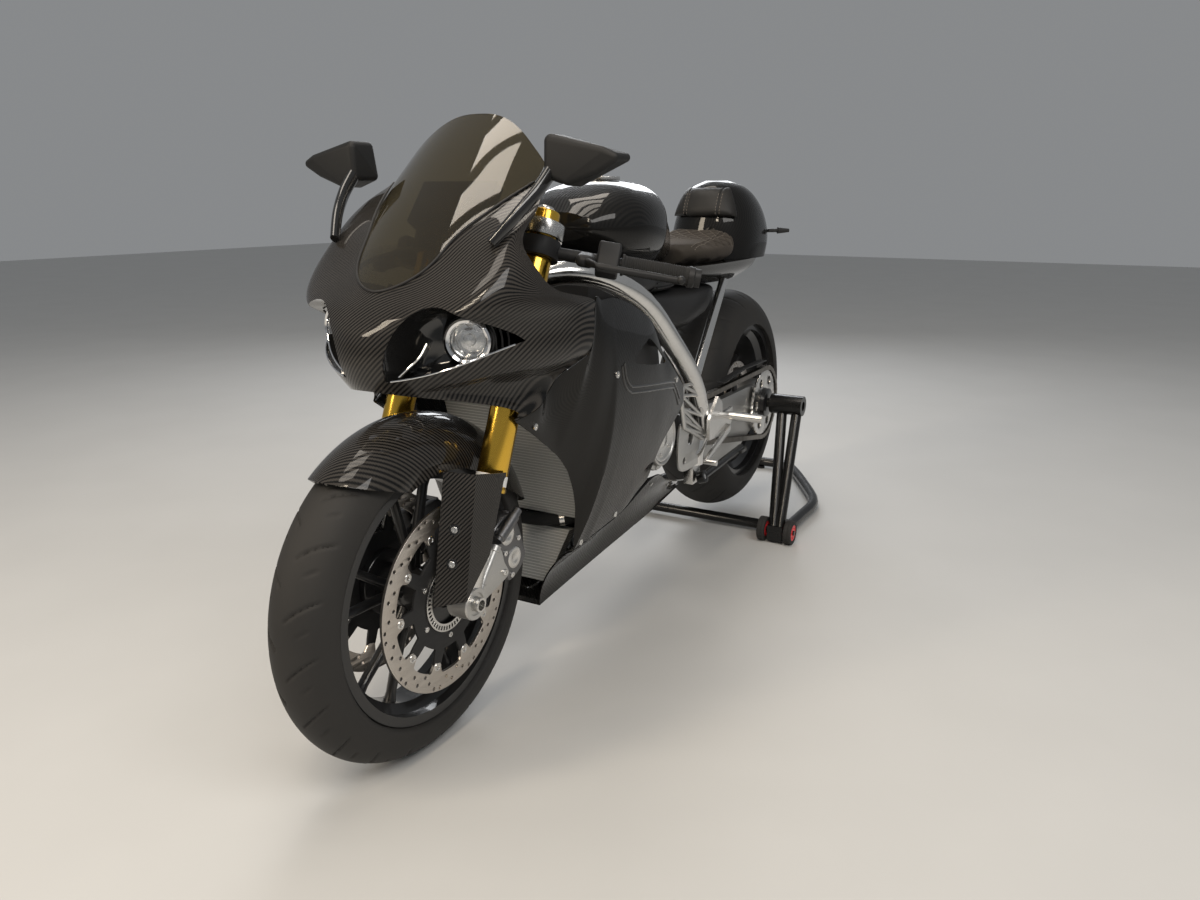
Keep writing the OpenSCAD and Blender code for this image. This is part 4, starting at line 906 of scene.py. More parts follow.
def inflate(obj, cap, pressure, voxel):
    """Swells a pad as sewn cloth: remesh, a short cloth run under pressure, with the movement capped."""
    remesh = obj.modifiers.new("remesh", "REMESH")
    remesh.mode = "VOXEL"
    remesh.voxel_size = voxel
    bake_modifiers(obj)
    rest = corners(obj)
    cloth = obj.modifiers.new("cloth", "CLOTH")
    cloth.settings.use_pressure = True
    cloth.settings.uniform_pressure_force = pressure
    cloth.settings.effector_weights.gravity = 0
    cloth.settings.quality = 5
    scene = bpy.context.scene
    for f in range(1, 19):
        scene.frame_set(f)
    bake_modifiers(obj)
    scene.frame_set(1)
    move = corners(obj) - rest
    far = np.linalg.norm(move, axis=1, keepdims=True)
    now = rest + move * np.minimum(1, cap * MM / np.maximum(far, 1e-9))
    obj.data.vertices.foreach_set("co", now.ravel())
    shade(obj, SOFT)


def sew(obj, depth_at):
    """Presses seams into a pad: depth_at(x, y, z) gives a depth in millimetres."""
    sub = obj.modifiers.new("fine", "SUBSURF")
    sub.levels = sub.render_levels = 1
    bake_modifiers(obj)
    me = obj.data
    co = corners(obj) / MM
    normal = np.array([v.normal for v in me.vertices])
    depth = np.array([depth_at(*p) for p in co])
    me.vertices.foreach_set("co", ((co - normal * depth[:, None]) * MM).ravel())
    me.update()
    shade(obj, SOFT)


def stitch(name, pad, lines, aim, dash=5.0, gap=3.2):
    """Rows of thread on a pad: each line is carried onto the pad along the aim."""
    tree = BVHTree.FromPolygons([v.co for v in pad.data.vertices], [p.vertices for p in pad.data.polygons])
    threads = []
    for a, b in lines:
        a, b = np.array(a, float), np.array(b, float)
        length = float(np.linalg.norm(b - a))
        for s in np.arange(0.0, length - dash, dash + gap):
            hits = [tree.ray_cast(Vector(mix(a, b, q / length) * MM), Vector(aim))[0]
                    for q in (s, s + dash / 2, s + dash)]
            if all(hits):
                path = [np.array(h) / MM for h in hits]
                threads.append(tube("thread", path, [0.5, 0.9, 0.5], "thread", "chassis", 6, up=(0.31, 0.2, 0.93)))
    merge(name, threads, 60)


def make_seat():
    shrink, low, above = 4.0, 798.5, 930.0
    rings = [cross_ring(x, at(SEAT, x, 1) - shrink, low, at(SEAT, x, 3) - shrink, at(SEAT, x, 4), 64)
             for x in np.linspace(SEAT[0][0] + 3, SEAT[-1][0] - 3, 40)]
    seat = loft("rider_seat", rings, "suede", "chassis", slot="suede", replaces=("seat_pad",))
    inflate(seat, 5.0, 4.0, 0.005)

    def seams(x, y, z):
        if z < 838:
            return 0.0
        a, b = (x + y) / QUILT, (x - y) / QUILT
        line = min(abs(a - round(a)), abs(b - round(b))) * 24
        channel = abs(abs(y) - SEAT_SEAM)
        return (3.0 * smooth(-255, -280, x) * math.exp(-(line / 2.2) ** 2)
                + 2.4 * math.exp(-(channel / 2.4) ** 2))

    sew(seat, seams)
    rows = [((-384, side * y, above), (-176, side * y * 0.97, above)) for side, _ in SIDES
            for y in (SEAT_SEAM - 5, SEAT_SEAM + 5)]
    for k in range(-14, -5):
        for side, _ in SIDES:
            xs = np.clip([QUILT * k - QUILT_HALF, QUILT * k + QUILT_HALF], QUILT_REAR, QUILT_FRONT)
            if xs[1] - xs[0] > 10:
                rows.append(tuple((x, side * (QUILT * k - x), above) for x in xs))
    stitch("seat_stitches", seat, rows, (0, 0, -1))


def make_back_rest():
    rows, cols, spread = 30, 50, math.radians(44)
    outer, inner = np.zeros((2, rows + 1, cols + 1, 3))
    for i in range(rows + 1):
        z = mix(908, 987, i / rows)
        for j in range(cols + 1):
            q = 2 * j / cols - 1
            puff = 1 - 0.55 * max(abs(2 * i / rows - 1) ** 4, abs(q) ** 4)
            outer[i, j] = tail_pt(z, spread * q, 1 + 19 * puff)
            inner[i, j] = tail_pt(z, spread * q, 2.5)
    pad = skin("back_rest", outer, inner, "leather", "chassis", slot="leather", replaces=("back_pad",))
    inflate(pad, 3.0, 3.0, 0.004)
    sew(pad, lambda x, y, z: 2.6 * math.exp(-((abs(y) - PAD_SEAM) / 2.0) ** 2))
    rows = [((-300, side * y, 916), (-300, side * y, 978)) for side, _ in SIDES
            for y in (PAD_SEAM - 5, PAD_SEAM + 5)]
    stitch("pad_stitches", pad, rows, (-1, 0, 0))


make_tank_and_tail()
make_infill()
make_seat()
make_back_rest()


# Tyres and rims

BEAD_R = 218.0


def make_tyre(name, centre, r, hw, crown, bead_hw, period, node, body):
    """A tyre with a round crown, sipes across its shoulders and a moulded side wall."""
    steps, arc = 540, 60
    mid = r - crown
    pitch = TURN / period

    def sipe(th, y):
        """Depth of the tread's grooves at an angle and a width."""
        share = abs(y) / hw
        if not 0.1 < share < 0.93:
            return 0.0
        phase = ((th + (pitch / 2 if y >= 0 else 0)) / pitch) % 1.0
        bend = 0.12 + 0.55 * (share - 0.1) ** 0.85
        d = min(abs(phase - bend), 1 - abs(phase - bend)) * pitch * r
        long = 3.4 * smooth(0.1, 0.16, share) * smooth(0.9, 0.78, share) * (1 - smooth(1.6, 3.6, d))
        e = abs(((phase + 0.42) % 1.0) - bend) * pitch * r
        short = 2.6 * smooth(0.42, 0.5, share) * smooth(0.72, 0.64, share) * (1 - smooth(1.4, 3.2, e))
        return max(long, short)

    profile = [(mid + crown * math.cos(a), hw * math.sin(a))
               for a in np.linspace(-math.pi / 2, math.pi / 2, arc + 1)]
    wall = [(mid - 3, hw - 0.6), (mid - 6, hw - 3.5), (230.6, bead_hw + 3), (230, bead_hw), (BEAD_R, bead_hw)]
    profile = [(a, -b) for a, b in wall[::-1]] + profile + wall
    verts = np.array([[around(centre, rad - sipe(th, y), th, y) for rad, y in profile] for th in turns(steps)])
    idx = np.arange(steps * len(profile)).reshape(steps, -1)
    nxt = np.roll(idx, -1, axis=0)
    quads = np.stack([idx, np.roll(idx, -1, axis=1), np.roll(nxt, -1, axis=1), nxt], 2).reshape(-1, 4)
    piece(name, verts.reshape(-1, 3), quads, "rubber", body, slot="tyre", replaces=(node,), angle=SKIN)


def make_rim(name, centre, bead_hw, hub, spoke_y, half_t, node, body):
    """A barrel with rounded flanges, and five forked spokes from the hub."""
    seat, edge, well, drop = BEAD_R - 0.3, bead_hw + 0.3, bead_hw - 26, bead_hw - 12
    lip = [(229, edge), (230, edge + 2.5), (228, edge + 5), (222, edge + 4.4), (211.7, edge + 5), (211, drop)]
    barrel = lip + [(196, well), (195.7, -well)] + [(r, -h) for r, h in lip[::-1]]
    barrel += [(seat, -edge), (seat, 14 - bead_hw), (199.7, -well), (199.7, well), (seat, bead_hw - 14),
               (seat, edge)]
    parts = [lathe(name + "_barrel", barrel, centre, ACROSS, "rim", body, 128, closed=True)]
    for turn in turns(5) + math.pi / 2:
        for s in (-1, 1):
            path = spline([(hub * 0.8, s * 7), (hub + 22, s * 8), (hub + 62, s * 17), (160, s * 35),
                           (198, s * 46)], 8)
            pts = [around(centre, a, turn, spoke_y) + [-b * math.sin(turn), 0, b * math.cos(turn)]
                   for a, b in path]
            size = np.interp(np.arange(len(pts)), [0, 16, len(pts) - 6, len(pts) - 1], [9.5, 8.0, 7.5, 11])
            parts.append(tube(f"{name}_spoke", pts, size, "rim", body, 14, half_t / 8.5))
    merge(name, parts, replaces=(node,))


FRONT_HUB = [(12.6, -66), (33, -66), (34, -64), (34, -30), (40, -14), (40, 14), (34, 30), (34, 64), (33, 66),
             (12.6, 66)]
HUB_FLANGE = [(20, 58), (57, 58), (58, 59), (58, 71), (57, 71.7), (20, 71.7)]
REAR_HUB = [(14, -62), (60, -62), (62, -60), (62, 38), (60, 40), (42, 40), (42, 154), (40, 155), (14, 155)]

make_tyre("front_tyre_tread", FRONT, 300, 60, 62, 46, 20, "front_tyre", "front_wheel")
make_tyre("rear_tyre_tread", REAR, 326, 100, 92, 78, 18, "rear_tyre", "rear_wheel")
make_rim("front_wheel_rim", FRONT, 46, 34, 0, 11, "front_rim", "front_wheel")
lathe("front_hub", FRONT_HUB, FRONT, ACROSS, "rim", "front_wheel", 64, closed=True)
for side, tag in SIDES:
    lathe(f"front_hub_flange_{tag}", HUB_FLANGE, FRONT, (0, side, 0), "rim", "front_wheel", 64, closed=True)
make_rim("rear_wheel_rim", REAR, 78, 60, -20, 14, "rear_rim", "rear_wheel")
lathe("rear_hub", REAR_HUB, REAR, ACROSS, "rim", "rear_wheel", 72, closed=True)


# Brake discs

DISC_BAND, DISC_T = 32, 5
BOBBIN = [(2.5, 0.2), (4.2, 1.6), (7.2, 1.6), (7.8, 0.8), (7.8, -4)]


def make_disc(name, centre, r, bore, arms, y0, side, steel, body, node, screw_r):
    """A floating disc: a drilled band with tabs inside it, a carrier with arms, and bobbins between."""
    inner, per, out = r - DISC_BAND, 24, (0, side, 0)
    tab = 0.14 * inner
    place = wheel_plane(centre, side)

    def outline(radius):
        away = np.abs((np.arange(arms * per) / per + 0.5) % 1.0 - 0.5)
        return np.array([polar(radius(d), a) for a, d in zip(turns(arms * per), away)])

    holes = []
    for k in range(arms):
        for m in range(6):
            rad = r - 6 - (DISC_BAND - 12) * ((m * 2) % 5) / 4
            holes.append(circle(3.3, 14, polar(rad, TURN * (k + m / 6) / arms)))
    tabs = outline(lambda d: inner - tab * smooth(0.19, 0.1, d))
    plate(name + "_band", [circle(r, 160), tabs] + holes, y0, y0 + DISC_T, place, steel, body, 0.4, slot="steel",
          replaces=(node,) if node else ())
    spokes = outline(lambda d: mix(0.68 * inner, inner - 0.7 * tab, smooth(0.22, 0.12, d)))
    plate(name + "_carrier", [spokes, circle(bore, 64)], y0 + 0.3, y0 + DISC_T - 0.3, place, "black", body, 0.5)
    spots = [around(centre, inner - 0.62 * tab, a, side * (y0 + 4.4)) for a in turns(arms)]
    merge(name + "_bobbins", [lathe("bobbin", BOBBIN, p, out, "silver", body, 20) for p in spots])
    heads = [(around(centre, screw_r, a, side * (y0 + 4.6)), out) for a in turns(6, 0.5)]
    bolts(name + "_screws", heads, 5.0, 3.0, body)


make_disc("front_disc_left", FRONT, 165, 48, 10, 72, 1, "steel", "front_wheel", "front_discs", 70)
make_disc("front_disc_right", FRONT, 165, 48, 10, 72, -1, "steel", "front_wheel", None, 70)
make_disc("rear_brake_disc", REAR, 115, 42.3, 8, 46, 1, "rear_steel", "rear_wheel", "rear_disc", 49.3)


# Front fender and fork guards

FENDER_R, FENDER_ARC, SKIRT_R = 309.0, 76.0, 221.0
GUARD_TILT = math.radians(12.4)
WASHER = [(0.1, 1.2), (8.6, 1.2), (9.4, 0.4), (9.4, -2)]


def guard_point(x, y, s, side):
    c, t = math.cos(GUARD_TILT), math.sin(GUARD_TILT)
    return fork_point(x * c + s * t, y, -x * t + s * c) * mirror(side)


def make_fender():
    middle = FENDER_R - FENDER_ARC + PANEL_T
    rows, cols = 90, 56
    g = np.zeros((rows + 1, cols + 1, 3))
    for i in range(rows + 1):
        phi = math.radians(mix(38, -75, i / rows))
        low = SKIRT_R
        # straight front and rear edges of the skirt, as radii at this angle
        front = 184.3 / (math.cos(phi) - 0.3168 * math.sin(phi))
        back = 242.1 / (math.cos(phi) - 0.5474 * math.sin(phi))
        if front * math.sin(phi) > 78:
            low = max(low, front)
        if back * math.sin(phi) < -150:
            low = max(low, back)
        full = math.acos(max(-1.0, min(0.998, (low - middle) / FENDER_ARC)))
        for j in range(cols + 1):
            b = full * (2 * j / cols - 1)
            g[i, j] = around(FRONT, middle + FENDER_ARC * math.cos(b), math.pi / 2 - phi, FENDER_ARC * math.sin(b))
    sheet("fender_arch", g, PANEL_T, "weave", "steering", FRONT, slot="carbon", replaces=("front_fender",))
    xs = np.concatenate([np.linspace(52, 29, 12), np.linspace(29, -42, 30)[1:]])
    rows = 60
    for side, tag in SIDES:
        grid = []
        for x in xs:
            y = np.interp(x, [-42, 29, 52], [32, 21, -28])
            s0 = np.interp(x, [-42, -38, -18, 28, 52], [214, 213, 83, 10, -6.5])
            grid.append([guard_point(x, y, mix(s0, 222, i / rows), side) for i in range(rows + 1)])
        sheet(f"fork_guard_{tag}", np.array(grid), PANEL_T, "weave", "steering",
              fork_point(-60, -40, 100) * mirror(side), slot="carbon", angle=FLAT)
        lean = RAKE - GUARD_TILT
        out = np.array([math.cos(lean) * 0.9, side * 0.42, math.sin(lean) * 0.9])
        heads = [(guard_point(41, -5, s, side), out) for s in (70, 128)]
        merge(f"guard_washers_{tag}", [lathe("washer", WASHER, p, d, "gloss", "steering", 28) for p, d in heads])
        bolts(f"guard_screws_{tag}", heads, 5.5, 3.2, "steering")


make_fender()


# Mirrors

# Balls under the skin of a mirror's head: place, radius
MIRROR = [(706, 208, 1042, 12), (704, 298, 1024, 9), (702, 316, 1017, 8), (702, 286, 1002, 9), (704, 236, 986, 10),
          (706, 206, 996, 11), (668, 206, 1044, 10), (664, 316, 1018, 7), (664, 234, 984, 9), (666, 200, 996, 10)]


def round_hull(name, balls, mat, body, **rest):
    """A smooth skin stretched over balls (x, y, z, radius)."""
    bm = bmesh.new()
    for x, y, z, r in balls:
        for a in np.linspace(0, math.pi, 15):
            for b in turns(28):
                dx, dy = polar(r * math.sin(a), b)
                bm.verts.new((x + dx, y + dy, z + r * math.cos(a)))
    got = bmesh.ops.convex_hull(bm, input=bm.verts)
    spare = set(v for v in got["geom_interior"] + got["geom_unused"] if isinstance(v, bmesh.types.BMVert))
    bmesh.ops.delete(bm, geom=list(spare), context="VERTS")
    bmesh.ops.remove_doubles(bm, verts=bm.verts, dist=0.05)
    bm.verts.index_update()
    verts = [tuple(v.co) for v in bm.verts]
    faces = [[v.index for v in f.verts] for f in bm.faces]
    bm.free()
    return piece(name, verts, faces, mat, body, angle=40, **rest)


def make_mirrors():
    path = spline([(704, 206, 1000), (740, 200, 966), (776, 184, 930), tuple(cowl_pt(890, 0.7, 13.6))], 8)
    for side, tag in SIDES:
        round_hull(f"mirror_head_{tag}", [(x, side * y, z, r) for x, y, z, r in MIRROR], "matte", "chassis",
                   slot="black_plastic", replaces=once("mirrors", side))
        size = np.linspace(13, 10, len(path))
        tube(f"mirror_stalk_{tag}", path * mirror(side), size, "gloss", "chassis", 20, 0.7)


make_mirrors()


# Handlebars, front brakes and fork

FORK_AXIS = np.array([-math.sin(RAKE), 0, math.cos(RAKE)])
FORK_FORE = np.array([math.cos(RAKE), 0, math.sin(RAKE)])
# Direction of the left bar in the fork leg's frame, and its height on the leg
BAR, BAR_S = np.array([-0.469, 0.883, 0.0175]), np.array([0, 0, 619])
BAR_DIR = fork_point(*BAR) - fork_point(0, 0, 0)
LEVER_DROP = math.radians(24)
BAR_END = [(0.1, -1), (17.6, -1), (18.4, 0), (18.4, 9), (16.5, 11), (8, 11.5), (6, 9.5), (0.1, 9.5)]
GRIP_IN, GRIP_OUT, GRIP_RIBS = 148, 267, 28
# Switch keys: spans along the bar, and up from it
KEYS = (((112, 120), (6, 18)), ((126, 134), (6, 18)), ((116, 132), (-12, -4)))
# Caliper: axes along and out from the disc, outline in them, and turned and bolted details
CALIPER_X, CALIPER_OUT = np.array([0.358, 0, 0.934]), np.array([-0.934, 0, 0.358])
CALIPER = [(-60, 120), (-62, 150), (-50, 178), (-20, 184), (20, 184), (50, 178), (62, 150), (60, 120), (40, 117),
           (-40, 117)]
CALIPER_CAP = [(0.1, 0.6), (9, 0.6), (11, 1.8), (18.5, 1.8), (20.5, 0.6), (21, -3)]
CALIPER_SCREWS = ((-52, 128), (52, 128), (0, 127), (0, 172))
# Fork foot's outline in the leg's frame, and the leg's turned parts: radius, height on the leg
FOOT = [(20, -18), (24, 0), (21, 30), (21.5, 98), (-20, 98), (-30, 92), (-56, 96), (-77, 74), (-98, 53), (-60, 20),
        (-27, -6), (-14, -23), (6, -26)]
FOOT_BOSS = [(12.8, -20), (27, -20), (28.6, -18), (28.6, 19), (27, 22), (20, 22), (18.5, 19), (12.8, 19)]
LEG = [(0.1, 190), (26.4, 190), (27, 191), (27, 684), (26, 687), (24, 688), (0.1, 688)]
LEG_CAP = [(18, 687.8), (18, 689.4), (15.2, 690), (15, 694), (13.5, 696.4), (6, 696.4), (5, 694.4), (0.1, 694.4)]
SLIDER = [(0.1, 22), (20, 22), (21.5, 25), (21.5, 187), (20.5, 190), (0.1, 190)]
BAND = [(27.05, 201), (27.5, 201), (27.5, 219), (27.05, 219)]
COLLAR = [(21.6, 190.4), (28.4, 190.4), (29, 191.4), (29, 197), (28, 199), (27.05, 199.4), (27.05, 196),
          (21.6, 194)]


def bar_point(a, ahead, up, side):
    """A point beside the left handlebar, mirrored for the right one."""
    fore = np.cross(BAR_DIR, FORK_AXIS)
    rise = np.cross(fore, BAR_DIR)
    return (fork_point(*(BAR * a + BAR_S)) + ahead * fore + up * rise) * mirror(side)


def rounded_box(name, spans, r, side, mat, **rest):
    balls = [(*bar_point(a, f, u, side), r) for a in spans[0] for f in spans[1] for u in spans[2]]
    return round_hull(name, balls, mat, "steering", **rest)


def make_controls():
    for side, tag in SIDES:
        along = BAR_DIR * mirror(side)
        rounded_box(f"switch_block_{tag}", ((109, 139), (-17, 15), (-19, 27)), 5, side, "black",
                    slot="black_plastic", replaces=once("controls", side))
        merge(f"switch_keys_{tag}", [rounded_box("switch_key", (a, (-20.5, -20), up), 2.5, side, "matte")
                                     for a, up in KEYS])

        def off(a, far):
            return bar_point(a, far * math.cos(LEVER_DROP), -far * math.sin(LEVER_DROP), side)

        balls = [(*off(a, far), 11) for a in (80, 92) for far in (0, 34)]
        round_hull(f"lever_perch_{tag}", balls, "black", "steering")
        path = spline([off(86, 34), off(98, 52), off(116, 64), off(160, 66), off(215, 62), off(248, 62)], 8)
        size = np.interp(np.arange(len(path)), [0, 10, 40], [8, 6.5, 5])
        ball = [(7.5 * math.sin(t), -7.5 * math.cos(t)) for t in np.linspace(0.02, math.pi - 0.02, 13)]
        merge(f"hand_lever_{tag}", [tube("lever_blade", path, size, "black", "steering", 14, 0.75),
                                    lathe("lever_tip", ball, off(252, 62), along, "black", "steering", 20)])
        lathe(f"bar_end_{tag}", BAR_END, bar_point(GRIP_OUT, 0, 0, side), along, "black", "steering", 32)


def make_tone_ring():
    """Toothed ring beside the left hub, for the wheel-speed sensor."""
    half = 0.035
    slots = [np.array([polar(r, a + d) for r, d in ((50, -half), (57, -half), (57, half), (50, half))])
             for a in turns(46)]
    plate("tone_ring", [circle(60, 92), circle(46, 64)] + slots, 77.5, 80, wheel_plane(FRONT, 1), "silver",
          "front_wheel", 0.25, slot="steel")


def make_brakes():
    half = spline(CALIPER, 8, True)
    for side, tag in SIDES:
        out = np.array([0, side, 0])
        place = place_at(FRONT, CALIPER_X, CALIPER_OUT, out)
        parts = [plate("caliper_outer", [half], 83, 114, place, "grey", "steering", 4),
                 plate("caliper_inner", [half], 51, 66, place, "grey", "steering", 3)]
        for x in (-38, 0, 38):
            web = [(x - 12, 173), (x + 12, 173), (x + 12, 183.5), (x - 12, 183.5)]
            parts.append(plate("caliper_web", [web], 60, 100, place, "grey", "steering", 1.5))
        merge(f"caliper_body_{tag}", parts, FLAT, once("front_calipers", side))

        def spot(x, r, h):
            return FRONT + CALIPER_X * x + CALIPER_OUT * r + out * h

        caps = [lathe("caliper_cap", CALIPER_CAP, spot(x, 148, 114), out, "silver", "steering", 40)
                for x in (-27, 27)]
        merge(f"caliper_caps_{tag}", caps)
        bolts(f"caliper_screws_{tag}", [(spot(x, r, 113.8), out) for x, r in CALIPER_SCREWS], 5.5, 3.0, "steering")


def make_fork_feet():
    for side, tag in SIDES:
        flip, out = mirror(side), np.array([0, side, 0])
        foot = fork_point(0, 0, 0) * flip

        def turned(name, profile, mat, steps, **rest):
            lathe(f"fork_{name}_{tag}", profile, foot, FORK_AXIS, mat, "steering", steps, **rest)

        turned("leg", LEG, "gold", 96, slot="gold", replaces=once("fork_tubes", side))
        turned("cap", LEG_CAP, "silver", 48)
        turned("slider", SLIDER, "silver", 48)
        place = place_at(foot, FORK_FORE, FORK_AXIS, out)
        web = plate("foot_plate", [spline(FOOT, 5, True)], -12, 12, place, "cast", "steering", 3)
        ring = lathe("foot_ring", FOOT_BOSS, foot, out, "cast", "steering", 64, closed=True)
        merge(f"fork_foot_{tag}", [web, ring], FLAT, once("fork_lowers", side))
        turned("band", BAND, "band", 64, closed=True)
        turned("collar", COLLAR, "gold", 64, closed=True)
        pin = [fork_point(mix(-37, -13, t), 13, mix(100, 22, t)) * flip for t in (0, 0.12, 0.14, 0.86, 0.88, 1)]
        tube(f"foot_pin_{tag}", pin, [9, 9, 7, 7, 9, 9], "cast", "steering", 20)
        stem = [fork_point(mix(-40, -84, t), 12, mix(108, 168, t)) * flip for t in (0, 0.08, 0.1, 0.8, 0.82, 1)]
        tube(f"caliper_stem_{tag}", stem, [8, 8, 10.5, 10.5, 8.5, 8], "grey", "steering", 20)
        heads = [(fork_point(x, 0, s) * flip + out * 11.8, out) for x, s in ((8, 78), (8, 52), (-82, 56))]
        bolts(f"foot_screws_{tag}", heads, 6.0, 3.4, "steering")


def make_grips():
    for side, tag in SIDES:
        a, b = (bar_point(d, 0, 0, side) for d in (GRIP_IN, GRIP_OUT))
        length = float(np.linalg.norm(b - a))
        profile = [(0.1, 0.2), (18.6, 0.2), (19, 1), (19, 4), (17, 6)]
        for h in np.linspace(7, length - 10, GRIP_RIBS):
            profile += [(16.9, h), (16.9, h + 1.7), (15.9, h + 2.2), (15.9, h + 3.2)]
        profile += [(17, length - 5), (17, length - 0.4), (0.1, length - 0.2)]
        lathe(f"bar_grip_{tag}", profile, a, b - a, "grip", "steering", 40, slot="rubber",
              replaces=once("grips", side))


make_controls()
make_tone_ring()
make_brakes()
make_fork_feet()
make_grips()


# Paddock stand wheels

STAND_AXLE = np.array([-431.0, 251.0, 35.0])
STAND_TYRE = [(23.6, 28), (32.5, 28), (34.2, 29), (35, 31.5), (35, 37), (34.2, 39), (35, 41), (35, 46.5),
              (34.2, 49), (32.5, 50), (23.6, 50)]
STAND_RIM = [(20.4, 29.4), (22.8, 29.4), (23.5, 30.2), (23.5, 47.8), (22.8, 48.6), (20.4, 48.6), (19.6, 47),
             (19.6, 31)]


def make_stand_wheels():
    tyres, hubs = [], []
    loops = [circle(23.5, 56), circle(6.2, 24)] + [circle(3.4, 20, polar(15, a)) for a in turns(5)]
    for side, _ in SIDES:
        out = (0, side, 0)
        tyres.append(lathe("stand_tyre", STAND_TYRE, STAND_AXLE, out, "rubber", "stand_wheels", 64, closed=True))
        hubs.append(plate("stand_hub", loops, 29, 49.4, wheel_plane(STAND_AXLE, side), "red", "stand_wheels", 0.8))
        hubs.append(lathe("stand_hub_rim", STAND_RIM, STAND_AXLE, out, "red", "stand_wheels", 56, closed=True))
    merge("stand_tyres", tyres)
    merge("stand_hubs", hubs, FLAT, ("stand_wheels",))


make_stand_wheels()


# Engine covers, cast lattice and coolant hose

COVER_AT = np.array([225.0, 0.0, 450.0])
COVER = [(0.1, 138), (72, 138), (72, 173), (70.5, 177), (68, 178), (61.5, 178), (60.5, 180), (60, 187),
         (58.5, 191), (56, 192), (53, 191), (51, 187), (0.1, 187)]
DISH = [(51, 187.2), (50, 189.5), (47, 189.8), (44, 188.4), (20, 187.8), (17, 190), (0.1, 190.4)]
# Rings of cover screws: number, radius, width
COVER_SCREWS = ((9, 66, 177.6), (5, 36, 187.8))
# Pivot plate and lattice rails in the side view (x, z); rungs join points of the two rails
PIVOT_PLATE = [(132, 462), (60, 448), (-4, 400), (6, 352), (60, 344), (130, 352), (146, 400)]
LATTICE_Y = 195.0
LATTICE = ([(141, 554), (150, 524), (140, 490), (129, 455)], [(61, 547), (40, 503), (16, 437), (-6, 395)])
RUNGS = ((0, 0), (0, 6), (6, 6), (6, 13), (13, 13), (13, 19), (19, 19), (24, 20), (24, 24))
HOSE = [(430, -122, 366), (474, -110, 338), (498, -62, 328), (503, 0, 325), (498, 62, 328), (474, 110, 338),
        (430, 122, 366)]
HOSE_CLAMP = [(13.3, -5), (14.6, -5), (14.6, 5), (13.3, 5)]


def make_engine_sides():
    holes = [circle(15, 32, (78, 418)), circle(8, 24, (112, 372)), circle(7, 24, (34, 372))]
    for side, tag in SIDES:
        out = (0, side, 0)
        lathe(f"cover_body_{tag}", COVER, COVER_AT, out, "cast", "chassis", 96, slot="alloy",
              replaces=once("engine_covers", side))
        lathe(f"cover_dish_{tag}", DISH, COVER_AT, out, "silver", "chassis", 72)
        heads = [(around(COVER_AT, r, a, y * side), out) for n, r, y in COVER_SCREWS for a in turns(n)]
        bolts(f"cover_screws_{tag}", heads, 4.6, 3.0, "chassis")
        plate(f"pivot_plate_{tag}", [spline(PIVOT_PLATE, 5, True)] + holes, 184, 191, wheel_plane((0, 0, 0), side),
              "cast", "chassis", 1.6)
        rails = [spline([(x, LATTICE_Y * side, z) for x, z in line], 8) for line in LATTICE]
        parts = [tube("lattice_rail", rail, 6.5, "cast", "chassis", 14, 0.9) for rail in rails]
        parts += [tube("lattice_rung", np.linspace(rails[0][i], rails[1][j], 5), 4.2, "cast", "chassis", 12, 0.9)
                  for i, j in RUNGS]
        merge(f"lattice_{tag}", parts)
    hose = spline(HOSE, 8)
    tube("coolant_hose", hose, 13.5, "grip", "chassis", 20, up=(1, 0, 0.3))
    clamps = [lathe("hose_clamp", HOSE_CLAMP, hose[i], hose[i + 1] - hose[i - 1], "silver", "chassis", 36,
                    closed=True) for i in (12, 36)]
    merge("hose_clamps", clamps)


make_engine_sides()


# Light, floor and camera

FLOOR_HALF = 14
WARM = (1.0, 0.86, 0.68)
CAM_AT, CAM_LENS, CAM_SENSOR = Vector((1977.9, 993.8, 957.7)), 27.30, 36.0
CAM_YAW, CAM_PITCH, CAM_ROLL = -2.63897, -0.2702, 0.0019


def lamp(name, spot, target, size, energy, colour=(1, 1, 1)):
    data = bpy.data.lights.new(name, "AREA")
    data.shape = "RECTANGLE"
    data.size, data.size_y = size
    data.energy = energy
    data.color = colour
    obj = bpy.data.objects.new(name, data)
    obj.location = spot
    obj.rotation_euler = (Vector(target) - Vector(spot)).to_track_quat("-Z", "Y").to_euler()
    bpy.context.scene.collection.objects.link(obj)


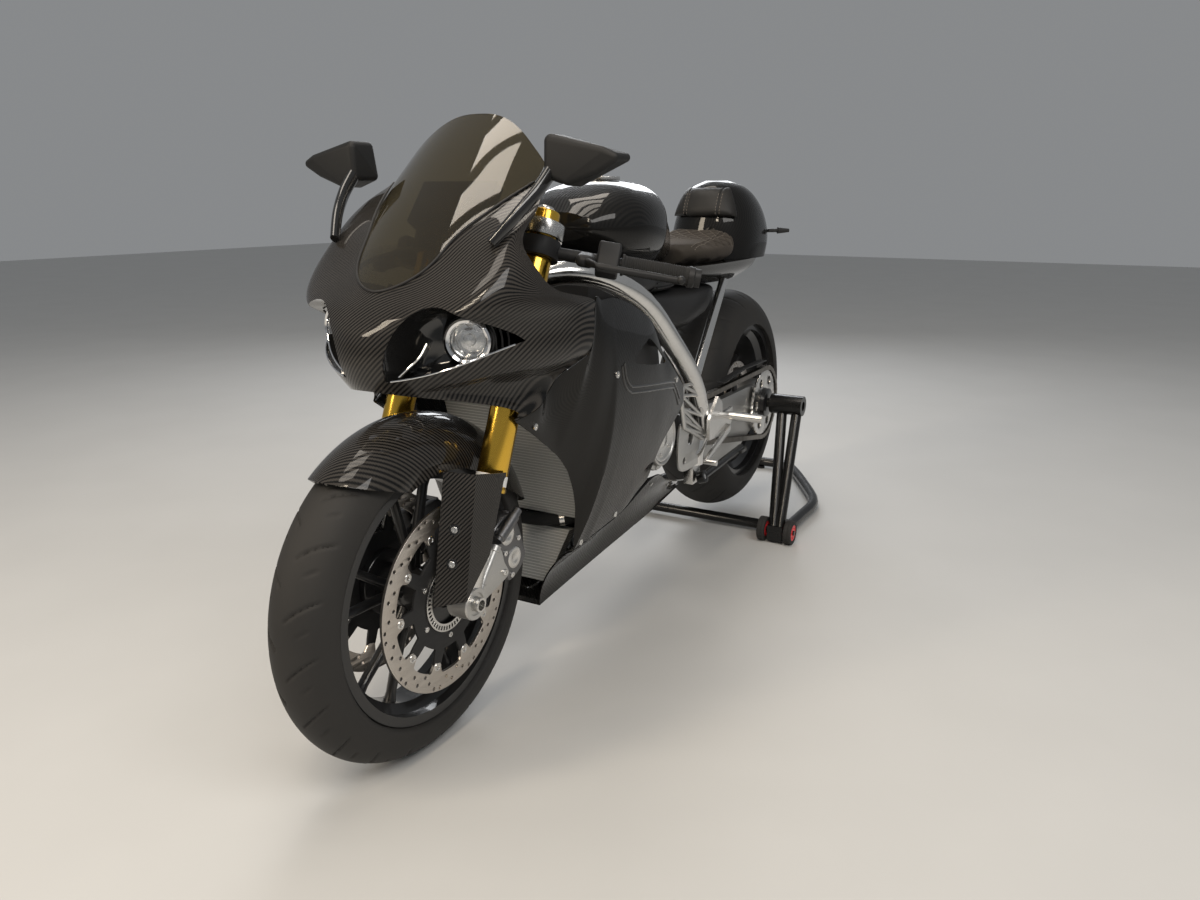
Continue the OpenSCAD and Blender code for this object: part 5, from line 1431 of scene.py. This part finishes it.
def make_stage():
    floor = bpy.data.meshes.new("floor")
    h = FLOOR_HALF
    floor.from_pydata([(-h, -h, 0), (h, -h, 0), (h, h, 0), (-h, h, 0)], [], [(0, 1, 2, 3)])
    obj = bpy.data.objects.new("floor", floor)
    bpy.context.scene.collection.objects.link(obj)
    s = Shader("floor_pale", (0.62, 0.62, 0.61), 0.55)
    s.set("Base Color", s.blend(s.noise(3.0, 4.0), (0.55, 0.55, 0.54), (0.6, 0.6, 0.59)))
    floor.materials.append(s.mat)
    world = bpy.data.worlds.new("studio")
    bpy.context.scene.world = world
    world.use_nodes = True
    back = world.node_tree.nodes["Background"]
    back.inputs["Color"].default_value = (0.72, 0.74, 0.76, 1)
    back.inputs["Strength"].default_value = 0.34
    lamp("key", (1.8, 2.6, 3.2), (0.2, 0, 0.6), (2.4, 1.4), 62, (1.0, 0.97, 0.93))
    for k in range(5):
        shift = Vector((0.894, 0.447, 0)) * 0.64 * (k - 2)
        lamp(f"top_{k}", Vector((0.4, -0.4, 3.6)) + shift, Vector((0.2, 0, 0.6)) + shift, (0.44, 1.2), 9,
             (1.0, 0.91, 0.8))
    lamp("window_a", (3.4, -1.6, 2.2), (0.5, 0, 0.8), (0.5, 2.0), 46, WARM)
    for k in range(4):
        lamp(f"window_b{k}", (3.2 - 0.28 * k, 0.9, 2.6 + 0.3 * k), (0.6, 0, 0.8), (0.45, 0.26), 10, WARM)
    lamp("rim", (-3.0, -1.6, 2.4), (0, 0, 0.7), (2.0, 1.5), 50, (0.95, 0.97, 1.0))


def make_camera():
    data = bpy.data.cameras.new("photo_camera")
    data.sensor_width = CAM_SENSOR
    data.lens = CAM_LENS
    cam = bpy.data.objects.new("photo_camera", data)
    bpy.context.scene.collection.objects.link(cam)
    level = math.cos(CAM_PITCH)
    forward = Vector((math.cos(CAM_YAW) * level, math.sin(CAM_YAW) * level, math.sin(CAM_PITCH)))
    right = Vector((math.sin(CAM_YAW), -math.cos(CAM_YAW), 0))
    up = right.cross(forward)
    c, s = math.cos(CAM_ROLL), math.sin(CAM_ROLL)
    cam.matrix_world = place_at(CAM_AT, c * right + s * up, c * up - s * right, -forward)
    bpy.context.scene.camera = cam


make_stage()
make_camera()
bpy.context.scene.view_settings.view_transform = "Standard"
bpy.context.view_layer.update()
